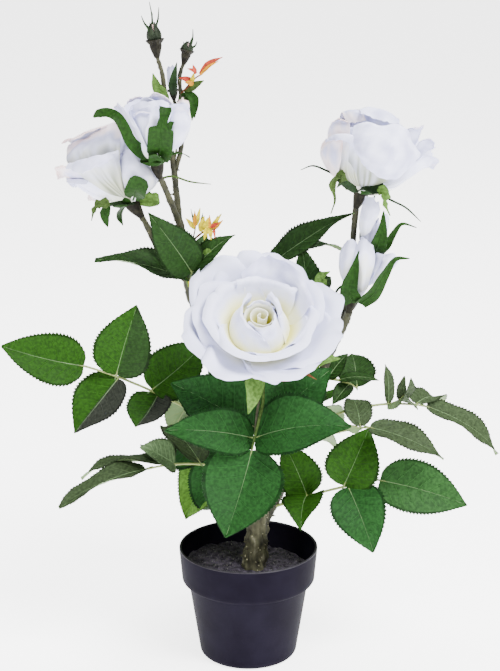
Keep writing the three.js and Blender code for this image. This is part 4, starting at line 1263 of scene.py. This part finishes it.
def add_laid_petal(mesh, rows, tints, seed):
    """A petal that runs smoothly through rows of points, with a wavy rim and wavy sides. tints is its tint
    at the rim and at the foot, its painted shade there, and how far up that reaches."""
    wide = [curve_through(row, LAID_COLUMNS // (len(row) - 1)) for row in rows]
    grid = np.stack([curve_through(line, LAID_STEPS) for line in np.swapaxes(wide, 0, 1)], axis=1)
    rise = np.linspace(0, 1, grid.shape[0])[:, None]
    beside = np.linspace(-1, 1, grid.shape[1])[None, :]
    beyond = np.abs(beside)
    loose = smoothstep(rise, 0.25, 1) * (0.35 + 0.65 * np.maximum(smoothstep(rise, 0.7, 1), beyond**3))
    flat = grid.reshape(-1, 3)
    waves = roughness_at(flat, 13, seed) + 0.35 * roughness_at(flat, 5, seed + 1)
    waves = waves.reshape(loose.shape)
    ribs = np.sin(19 * beside + 3 * np.sin(5 * beside + 3 * rise + seed) + seed)
    ribs = ribs * (1 - smoothstep(rise, 0.3, 0.85))
    grid = grid + (loose * waves + 0.09 * ribs)[..., None] * normals_of(grid)
    outward = np.gradient(grid, axis=0)
    outward = outward / np.maximum(np.linalg.norm(outward, axis=2, keepdims=True), 1e-6)
    jagged = 0.8 * smoothstep(rise, 0.8, 1) * roughness_at(flat, 6, seed + 2).reshape(loose.shape)
    grid = grid + jagged[..., None] * outward
    rim_tint, foot_tint, foot_painted_shade, painted_shade_reach = tints
    # Painted shade, strongest at the foot, fading upward and varying along the ribs.
    shade = foot_painted_shade * (1 - smoothstep(rise, 0.15, painted_shade_reach)) * (1 + 0.3 * ribs)
    tint = tint_of(rise, beyond, rim_tint, foot_tint) + 0.05 * waves
    add_shell(mesh, grid, PETAL_THICK, "petal", tint=tint, shade=shade)


def add_spiral(mesh, axis, size):
    """The rolled petals at the very heart: one sheet wound round the axis."""
    u = np.linspace(0, 1, 14)[:, None]
    w = np.linspace(0, 1, 84)[None, :]
    angle = 2 * math.pi * SPIRAL_TURNS * w
    out = size * (0.6 + 11.8 * w**0.85) * (0.55 + 0.45 * np.sin(math.pi / 2 * np.clip(u / 0.7, 0, 1)))
    out = out + size * 1.5 * smoothstep(u, 0.86, 1) * w
    height = SPIRAL_TOP - SPIRAL_FOOT - 1.5 * w + 0.6 * np.sin(3 * angle)
    height = size * (SPIRAL_FOOT + height * u) - size * 0.5 * smoothstep(u, 0.9, 1)
    points = axis.point(out * np.cos(angle), out * np.sin(angle), height, 100)
    tint = SPIRAL_TINT + (1 - SPIRAL_TINT) * (1 - smoothstep(u, 0.3, 0.95))
    add_shell(mesh, points, 0.45, "petal", tint=tint)


# Each bloom's hip: its radius and height.
HIPS = {
    "rose_front": (7, 15), "rose_left": (5.4, 13), "rose_upper": (5.0, 12), "rose_right": (5.6, 13),
    "bud_low_right": (4.6, 10), "bud_side_right": (3.8, 8), "bud_back_left": (3.2, 6),
    "bud_tall": (4.6, 10), "bud_short": (3.7, 8),
}
# The outlines of a hip and of the calyx on it, as shares of the hip's radius and height.
HIP_PROFILE = [
    (0.42, -0.12), (0.5, 0.0), (0.66, 0.2), (0.88, 0.5), (1.0, 0.75), (1.0, 0.9), (1.25, 1.02),
    (1.55, 1.22), (1.45, 1.26), (0.9, 1.1), (0.05, 1.08),
]
CALYX_PROFILE = [(0.9, 0.9), (1.3, 1.0), (1.75, 1.1), (2.3, 1.4), (2.25, 1.46), (1.6, 1.22), (0.05, 1.12)]


def add_hip(mesh, axis, radius, height, calyx):
    """The green hip under a bloom: a ribbed cup that narrows to the stem, and a lobed calyx on it."""

    def turn(profile, segments, finish, swell):
        scaled = [(r * radius, h * height) for r, h in profile]
        add_lathe(mesh, scaled, axis.foot, axis.forward, axis.right, segments, finish, swell)

    def ribs(angles, _):
        return 1 + 0.045 * np.cos(5 * angles)

    def lobes(angles, at):
        return 1 + (0.12 if at > 1.3 * height else 0.0) * np.cos(5 * angles)

    turn(HIP_PROFILE, 30, "hip", ribs)
    if calyx:
        turn(CALYX_PROFILE, 40, "sepal_green", lobes)


def points_about(axis, azimuths, radii, heights):
    """Points round an axis. radii and heights are one number, or one for each azimuth."""
    each = np.broadcast_arrays(azimuths, radii, heights)
    return [axis.point(radius, 0, height, azimuth) for azimuth, radius, height in zip(*each)]


def points_seen(row):
    """The points of a row that gives three numbers a point, as in LAID_PETALS."""
    return [seen_at(*row[i : i + 3]) for i in range(0, len(row), 3)]


def add_roses():
    green = Joined("hip", "sepal_green")
    for number, (name, (size, rows)) in enumerate(ROSES.items()):
        axis = Axis(*(OPEN_AXIS if name == "rose_front" else BLOOMS[name]))
        mesh = Joined("petal")
        if name.startswith("rose"):
            add_spiral(mesh, axis, size)
        for k, (kind, azimuth, changes) in enumerate(rows):
            add_petal(mesh, axis, size, kind, azimuth, changes, seed=100 * number + k)
        if name == "rose_front":
            for k, (tints, rows) in enumerate(HEART_PETALS.values()):
                add_laid_petal(mesh, [points_about(axis, *row) for row in rows], tints, seed=900 + k)
        for k, (tints, rows) in enumerate(LAID_PETALS.get(name, {}).values()):
            add_laid_petal(mesh, [points_seen(row) for row in rows], tints, seed=500 + 20 * number + k)
        mesh.make("petals_" + name, [name], sharp=60)
    for name, (radius, height) in HIPS.items():
        add_hip(green, Axis(*BLOOMS[name]), radius, height, calyx=name.startswith("rose"))
    green.make("hips")

# ---- sepals, young shoots and closed buds --------------------------------------------------------

RIBBON_THICK = 0.4
# How far a narrow blade's sides rise, as a share of its half width.
RIBBON_FOLD = 0.22

# Half width along a narrow blade, as a share of its nominal half width.
OUTLINES = {
    "lance": [(0, 0.3), (0.15, 0.7), (0.4, 1), (0.75, 0.55), (1, 0.03)],
    "spear": [(0, 0.8), (0.2, 1), (0.5, 0.7), (0.8, 0.3), (1, 0.04)],
    "strap": [(0, 0.9), (0.15, 1.25), (0.35, 1), (0.7, 0.85), (0.92, 0.7), (1, 0.15)],
    "thread": [(0, 1), (0.3, 0.8), (0.8, 0.5), (1, 0.1)],
    "wedge": [(0, 0.5), (0.55, 1), (0.9, 0.95), (1, 0.6)],
    "shouldered": [
        (0, 0.8), (0.14, 0.95), (0.3, 1), (0.67, 1), (0.7, 0.92), (0.72, 0.42), (0.84, 0.36), (0.95, 0.5),
        (1, 0.42),
    ],
    "lobed": [
        (0, 0.35), (0.12, 1), (0.3, 0.62), (0.38, 0.95), (0.5, 0.3), (0.62, 0.5), (0.72, 0.2), (1, 0.04),
    ],
}

# Sepals: finish, outline, width, the way the upper side faces, and the points along the middle.
SEPALS = [
    # the left rose
    ("sepal_green", "wedge", 16, (0.1, -1, 0.3), [(-86, -8, 373), (-82, -31, 386), (-78, -35, 395)]),
    ("sepal_dark", "strap", 5, (0, -0.6, 0.8), [(-86, -4, 370), (-97, -14, 371), (-105, -18, 371)]),
    ("sepal_olive", "lobed", 10, (-0.3, -0.7, 0.6), [(-103, -18, 372), (-112, -19, 371), (-117, -18, 359)]),
    ("sepal_green", "lance", 8, (0.1, -1, 0.2), [(-104, -14, 371), (-107, -15, 363), (-105, -14, 353)]),
    ("sepal_bright", "wedge", 11, (0.2, -0.8, 0.5), [(-85, 3, 369), (-76, 2, 370), (-67, 3, 371)]),
    ("sepal_olive", "thread", 2.8, (0, -0.6, 0.8),
     [(-83, 4, 371), (-74, 2, 380), (-65, 0, 387), (-57, 0, 389), (-44, 0, 385), (-28, 0, 383)]),
    # the upper rose
    ("sepal_green", "strap", 9, (0.35, -1, 0.3),
     [(-72, -24, 409), (-80, -37, 416), (-86, -42, 424), (-89, -44, 432), (-94, -42, 440), (-101, -38, 443),
      (-108, -36, 442), (-112, -34, 439)]),
    ("sepal_green", "shouldered", 18.5, (0, -1, 0.1),
     [(-66, -26, 407), (-64, -39, 416), (-63, -46, 425), (-62, -50, 434), (-60, -50, 442), (-59, -46, 448)]),
    ("sepal_green", "wedge", 11, (0.5, -1, 0.1), [(-66, -18, 406), (-59, -34, 420), (-54, -36, 436)]),
    ("sepal_green", "wedge", 12, (0, -1, 0.2), [(-67, -24, 404), (-67, -34, 408), (-66, -42, 413)]),
    # the right rose
    ("sepal_dark", "wedge", 14, (-0.2, -1, 0.2), [(82, -4, 379), (76, -13, 388), (68, -18, 396)]),
    ("sepal_dark", "thread", 3.4, (0, -0.5, 0.9),
     [(80, 2, 380), (69, -6, 390), (60, -8, 394), (48, -6, 398), (39, -6, 395)]),
    ("sepal_olive", "lobed", 11, (-0.3, -1, 0.3),
     [(80, -4, 381), (67, -24, 394), (62, -30, 389), (64, -28, 377), (61, -26, 366)]),
    ("sepal_dark", "wedge", 13, (0.1, -0.9, 0.6), [(82, -2, 380), (89, -14, 386), (98, -20, 382)]),
    ("sepal_bright", "lobed", 9, (0.3, -1, 0),
     [(96, -20, 384), (101, -22, 381), (101, -24, 374), (105, -24, 364)]),
    ("sepal_dark", "thread", 2.8, (0, -0.6, 0.8),
     [(86, 8, 379), (98, 8, 376), (107, 6, 370), (119, 6, 364), (131, 6, 353)]),
    # the upper bud on the right
    ("sepal_green", "spear", 15, (0.1, -1, 0.1),
     [(95, 4, 327), (98, -6, 338), (101, -6, 350), (102, -2, 363)]),
    ("sepal_green", "spear", 7, (0.3, -0.8, 0.7),
     [(95, 6, 327), (104, 2, 334), (110, 0, 345), (116, -2, 353), (127, -2, 350)]),
    ("sepal_dark", "thread", 2.6, (0, -1, 0), [(90, 8, 330), (85, 2, 342), (89, 0, 361)]),
    # the lower bud on the right
    ("sepal_green", "spear", 16, (-0.2, -1, 0.1),
     [(80, -10, 294), (76, -20, 306), (79, -22, 320), (83, -18, 336)]),
    ("sepal_green", "spear", 13, (0.5, -1, 0.1),
     [(85, -10, 293), (95, -19, 304), (102, -20, 318), (110, -20, 330), (121, -18, 330)]),
    ("sepal_bright", "lance", 8, (0.3, -1, 0), [(86, 4, 299), (97, 4, 318), (101, 5, 333)]),
    ("sepal_dark", "thread", 2.6, (0, -1, 0), [(79, -4, 297), (71, -8, 306), (66, -9, 300), (67, -9, 287)]),
    # the white bud at the back
    ("sepal_dark", "lance", 7, (0, -1, 0), [(-56, 18, 447), (-56, 9, 458), (-53, 9, 473)]),
    ("sepal_bright", "lance", 10, (-0.3, -1, 0), [(-60, 12, 444), (-67, 8, 454), (-71, 8, 465)]),
    ("sepal_green", "lance", 9, (0.3, -1, 0.2), [(-52, 12, 447), (-42, 8, 446), (-42, 6, 430)]),
    # the front rose
    ("sepal_bright", "lance", 15, (0, -1, 0.3),
     [(5, -48, 257), (5, -56, 245), (4, -60, 236), (0, -62, 222)]),
]

# Sepals behind each bloom, where no other is: azimuths about its axis.
HIDDEN_SEPALS = {
    "rose_front": (20, 95, 165), "rose_left": (60, 120), "rose_upper": (45, 110), "rose_right": (60, 110),
    "bud_low_right": (90,), "bud_side_right": (100, 150), "bud_back_left": (60, 120),
}

# Young coloured leaves: finish, outline, width, facing and points, as for the sepals.
SHOOTS = [
    ("shoot_coral", "lance", 4.6, (0.2, -1, 0.5), [(-36, 5, 465), (-29, 3, 473), (-19, 0, 478)]),
    ("shoot_orange", "lance", 2.6, (0.2, -1, 0.5), [(-36, 4, 464), (-29, 2, 471), (-22, 0, 475)]),
    ("shoot_coral", "lance", 3.2, (0, -1, 0.4), [(-39, 5, 465), (-41, 5, 472)]),
    ("shoot_coral", "lance", 2.8, (0.3, -1, 0.4), [(-38, 5, 466), (-45, 5, 469)]),
    ("shoot_red", "lance", 5.5, (0.3, -1, 0.4), [(-41, 7, 457), (-46, 6, 461), (-51, 5, 462)]),
    ("shoot_orange", "lance", 4, (0.3, -1, 0.4), [(-41, 6, 457), (-47, 4, 459)]),
    ("shoot_yellow", "lance", 3.5, (0.1, -1, 0.3), [(-42, 7, 458), (-40, 5, 466)]),
    ("sepal_olive", "lance", 7, (0.2, -1, 0.5), [(-47, 10, 452), (-40, 8, 456), (-33, 6, 460)]),
    ("sepal_green", "lance", 8, (0, -1, 0.4), [(-47, 10, 452), (-41, 8, 446), (-40, 6, 432)]),
    ("shoot_yellow", "lance", 4.2, (0, -1, 0.2), [(-40, -6, 350), (-47, -9, 359)]),
    ("sepal_olive", "lance", 1.6, (0, -1, 0.2), [(-40, -6, 351), (-43, -9, 366)]),
    ("shoot_orange", "lance", 3.1, (0, -1, 0.2), [(-40, -7, 352), (-40, -11, 365)]),
    ("shoot_yellow", "lance", 3.6, (0, -1, 0.2), [(-39, -7, 353), (-36, -10, 367)]),
    ("shoot_yellow", "lance", 5.7, (0, -1, 0.2), [(-36, -6, 348), (-33, -11, 361)]),
    ("shoot_yellow", "lance", 4.4, (0, -1, 0.2), [(-33, -7, 349), (-30, -12, 360)]),
    ("sepal_olive", "lance", 2.2, (0, -1, 0.2), [(-36, -5, 350), (-34, -9, 363)]),
    ("shoot_orange", "lance", 3.1, (0, -1, 0.2), [(-29, -8, 350), (-29, -12, 362)]),
    ("shoot_yellow", "lance", 3.9, (0, -1, 0.2), [(-28, -8, 350), (-20, -12, 363)]),
    ("shoot_orange", "lance", 3.4, (0, -1, 0.2), [(-26, -8, 350), (-19, -12, 358)]),
    ("sepal_olive", "lance", 2.0, (0, -1, 0.2), [(-27, -7, 350), (-23, -10, 361)]),
    ("shoot_yellow", "lance", 4.2, (0, -1, 0.2), [(-31, -8, 352), (-33, -12, 343)]),
    ("shoot_yellow", "lance", 3.9, (0, -1, 0.2), [(-29, -8, 352), (-28, -12, 343)]),
    ("shoot_coral", "lance", 2.2, (0, -1, 0.2), [(-26, -8, 351), (-25, -12, 344)]),
    ("shoot_red", "lance", 3.2, (0, -1, 0.2), [(-28, -10, 352), (-22, -13, 356)]),
    ("shoot_pink", "lance", 5, (0, -0.9, 0.5), [(-50, 6, 314), (-58, 2, 315), (-67, 0, 315)]),
    ("shoot_yellow", "lance", 5.2, (0, -1, 0.2), [(-47, 8, 303), (-43, 2, 306), (-39, -1, 312)]),
    ("sepal_bright", "wedge", 11, (0.1, -1, 0.4), [(-42, 6, 320), (-35, 0, 325), (-27, -4, 331)]),
    ("sepal_bright", "spear", 17, (0.1, -0.8, 0.6), [(44, -8, 245), (58, -13, 250), (70, -16, 251)]),
    ("shoot_stem", "lance", 3.4, (0.1, -0.8, 0.6),
     [(21, -54, 248), (31, -55, 252), (42, -54, 251), (51, -50, 245)]),
    ("shoot_red", "lance", 2.4, (0.1, -0.8, 0.6),
     [(25, -54, 245), (36, -56, 248), (45, -54, 252), (51, -48, 254)]),
    ("sepal_bright", "spear", 10, (0, -1, 0.3), [(56, 2, 304), (55, 0, 311), (62, -2, 316)]),
]
# The thin stems of the young shoots: finish, radius, points.
SHOOT_STEMS = [
    ("shoot_stem", 0.9, [(-52, 13, 440), (-51, 12, 448), (-43, 8, 457), (-39, 6, 462), (-34, 5, 465)]),
    ("shoot_stem", 0.9, [(-49, 8, 333), (-44, 2, 338), (-33, -4, 348), (-29, -8, 351), (-26, -9, 350)]),
    ("shoot_stem", 0.6, [(-42, 0, 340), (-40, -6, 350), (-39, -8, 356)]),
    ("sepal_bright", 0.9, [(-50, 8, 322), (-48, 4, 312), (-46, 6, 302)]),
    ("sepal_bright", 1.3, [(5, -4, 196), (4, -12, 230), (6, -18, 258)]),
    ("shoot_red", 0.8, [(9, -10, 232), (12, -18, 242), (16, -26, 245)]),
    ("stem", 1.3, [(9, -34, 243), (8, -37, 225), (6, -41, 211), (5, -40, 200)]),
    ("sepal_olive", 1.4, [(11, -32, 240), (11, -36, 223), (8, -42, 210), (5, -46, 199), (3, -48, 190)]),
    ("stem", 0.8, [(-56, 9, 395), (-52, 12, 425), (-53, 14, 444)]),
]


def add_ribbon(mesh, finish, outline, width, face, through, seed):
    """A narrow folded blade along a curve."""
    if len(through) == 2:
        through = [through[0], np.mean(through, axis=0) + (0, -0.8, 0.6), through[1]]
    path = curve_through(through, 8)
    spans = np.linalg.norm(np.diff(path, axis=0), axis=1)
    share = np.concatenate([[0], np.cumsum(spans)]) / spans.sum()
    places, widths = zip(*OUTLINES[outline])
    even = np.unique(np.concatenate([np.linspace(0, 1, 25), places]))
    path = np.stack([np.interp(even, share, path[:, k]) for k in range(3)], axis=1)
    half = np.interp(even, places, widths) * width / 2
    rng = np.random.default_rng(seed)
    tangents = np.gradient(path, axis=0)
    ups = np.array([square_to(unit(face), unit(tangent)) for tangent in tangents])
    across = np.cross(tangents / np.linalg.norm(tangents, axis=1)[:, None], ups)
    v = np.linspace(-1, 1, 9)
    ripple = 0.10 * width * np.sin(9 * even + rng.uniform(0, 6))
    aside = v[None, :] * half[:, None]
    lift = RIBBON_FOLD * np.abs(v)[None, :] ** 1.4 * half[:, None] + ripple[:, None] * v[None, :] ** 2 * 0.5
    grid = path[:, None] + aside[..., None] * across[:, None] + lift[..., None] * ups[:, None]
    add_shell(mesh, grid, RIBBON_THICK, finish)
    midrib = np.interp(even, (0, 1), (0.075, 0.02)) * max(width, 4)
    add_tube(mesh, path - 0.1 * ups, midrib, sides=6, finish=finish)


def add_hidden_sepals(mesh):
    """Sepals that run out from under a bloom, for the views from the side and from behind."""
    for number, (name, azimuths) in enumerate(HIDDEN_SEPALS.items()):
        axis = Axis(*BLOOMS[name])
        radius, height = HIPS[name]
        reach = 34 if name == "rose_front" else 22 if name.startswith("rose") else 11
        for k, azimuth in enumerate(azimuths):
            outs = np.array([0.9, 0.9, 1, 1]) * radius + np.array([0, 0.5, 0.95, 1.2]) * reach
            heights = np.array([0.95, 0.90, 0.55, 0.05]) * height
            path = axis.point(outs, np.zeros(4), heights, azimuth + 7 * (k % 2))
            outline = ("lobed", "lance")[k % 2]
            width = 11 if reach > 12 else 7
            seed = 300 + 10 * number + k
            add_ribbon(mesh, "sepal_green", outline, width, axis.forward, path, seed)


# Closed buds: the widest radius, and each spike's foot and tip.
CLOSED_BUDS = {
    "bud_tall": (5.4, [
        ((-71, 14, 497), (-73, 14, 517)), ((-73, 13, 497), (-79, 12, 507)), ((-69, 14, 497), (-66, 14, 513)),
        ((-68, 14, 497), (-66, 13, 505)), ((-73, 12, 495), (-77, 11, 501)), ((-70, 17, 496), (-71, 19, 508)),
    ]),
    "bud_short": (4.4, [
        ((-43, 14, 484), (-41, 14, 497)), ((-45, 13, 483), (-48, 12, 488)), ((-42, 14, 483), (-38, 13, 488)),
        ((-43, 16, 483), (-42, 19, 490)),
    ]),
}


def add_closed_buds():
    """Buds still shut: five green sepals round a white middle, with long dark tips."""
    buds = Joined("bud_green", "sepal_dark", "petal")
    for name, (radius, spikes) in CLOSED_BUDS.items():
        axis = Axis(*BLOOMS[name])
        low, top = HIPS[name][1], 0.60 * axis.length
        share = np.linspace(0, 1, 16)
        bulge = 0.30 + 0.70 * np.sin(math.pi * np.clip(share, 0, 0.93) ** 0.75)
        bulge = radius * bulge * (1 - 0.25 * share)
        bulge[0] = 0.55 * radius
        profile = list(zip(0.90 * bulge, low - 0.6 + (top - low) * share))
        add_lathe(buds, profile, axis.foot, axis.forward, axis.right, 60, "petal")
        for k in range(5):
            turn = 72 * k + 25
            rows, columns = np.linspace(0, 1, 14), np.linspace(-1, 1, 9)
            spread = np.interp(rows, (0, 0.3, 0.75, 1), (1, 1.02, 0.8, 0.15))[:, None]
            spread = np.radians(37) * spread * columns
            out = np.interp(rows, share, bulge)[:, None] * (1.05 + 0.10 * (1 - columns**2))
            height = low - 0.6 + (top + 1.5 - low) * rows[:, None]
            grid = axis.point(out * np.cos(spread), out * np.sin(spread), height, turn)
            add_shell(buds, grid, 0.45, "bud_green")
        for k, (foot, tip) in enumerate(spikes):
            foot, tip = np.array(foot, float), np.array(tip, float)
            bow = (foot + tip) / 2 + np.array([0.8 * (-1) ** k, 0, -0.4])
            path = curve_through([foot, bow, tip], 6)
            add_tube(buds, path, np.linspace(1.05, 0.25, len(path)), sides=7, finish="sepal_dark")
    buds.make("closed_buds", list(CLOSED_BUDS))


def add_greenery():
    sepals = Joined(*SEPAL_GREENS)
    for seed, row in enumerate(SEPALS):
        add_ribbon(sepals, *row, seed=seed)
    add_hidden_sepals(sepals)
    sepals.make("sepals")
    shoots = Joined(*SHOOT_COLOURS, *SEPAL_GREENS, "stem")
    for seed, row in enumerate(SHOOTS):
        add_ribbon(shoots, *row, seed=60 + seed)
    for finish, radius, through in SHOOT_STEMS:
        path = curve_through(through, 8)
        add_tube(shoots, path, np.linspace(radius, 0.6 * radius, len(path)), sides=8, finish=finish)
    shoots.make("young_shoots")
    add_closed_buds()

# ---- floor and light -----------------------------------------------------------------------------

FLOOR_REACH = 6.0
WORLD_STRENGTH = 0.4
# Where the lights aim.
MIDDLE = (0.0, 0.0, 0.28)
# Each light: its place, its power in watts and its size in metres.
LIGHTS = {
    "key": ((0.9, -1.0, 1.8), 120, 0.8),
    "fill": ((-1.3, -1.2, 0.8), 18, 1.2),
    "top": ((0.1, 0.5, 2.0), 60, 1.0),
}


def add_floor():
    mesh = bpy.data.meshes.new("floor")
    corners = [(-1, -1), (1, -1), (1, 1), (-1, 1)]
    mesh.from_pydata([(x * FLOOR_REACH, y * FLOOR_REACH, 0) for x, y in corners], [], [(0, 1, 2, 3)])
    mesh.materials.append(MATERIALS["floor"])
    floor = bpy.data.objects.new("floor", mesh)
    bpy.context.scene.collection.objects.link(floor)


def add_light(name, place, power, size):
    data = bpy.data.lights.new(name, "AREA")
    data.energy = power
    data.size = size
    light = bpy.data.objects.new(name, data)
    light.location = place
    x, y, z = np.subtract(MIDDLE, place)
    light.rotation_euler = (math.atan2(math.hypot(x, y), -z), 0, math.atan2(y, x) - math.pi / 2)
    bpy.context.scene.collection.objects.link(light)


def add_lights():
    world = bpy.data.worlds.new("studio")
    world.use_nodes = True
    background = world.node_tree.nodes["Background"]
    background.inputs["Color"].default_value = (1.0, 1.0, 1.0, 1)
    background.inputs["Strength"].default_value = WORLD_STRENGTH
    bpy.context.scene.world = world
    for name, (place, power, size) in LIGHTS.items():
        add_light(name, place, power, size)


# ---- making --------------------------------------------------------------------------------------

add_camera()
add_finishes()
add_trunk()
add_limbs()
add_pot()
add_fill()
add_leaves()
add_roses()
add_greenery()
add_floor()
add_lights()
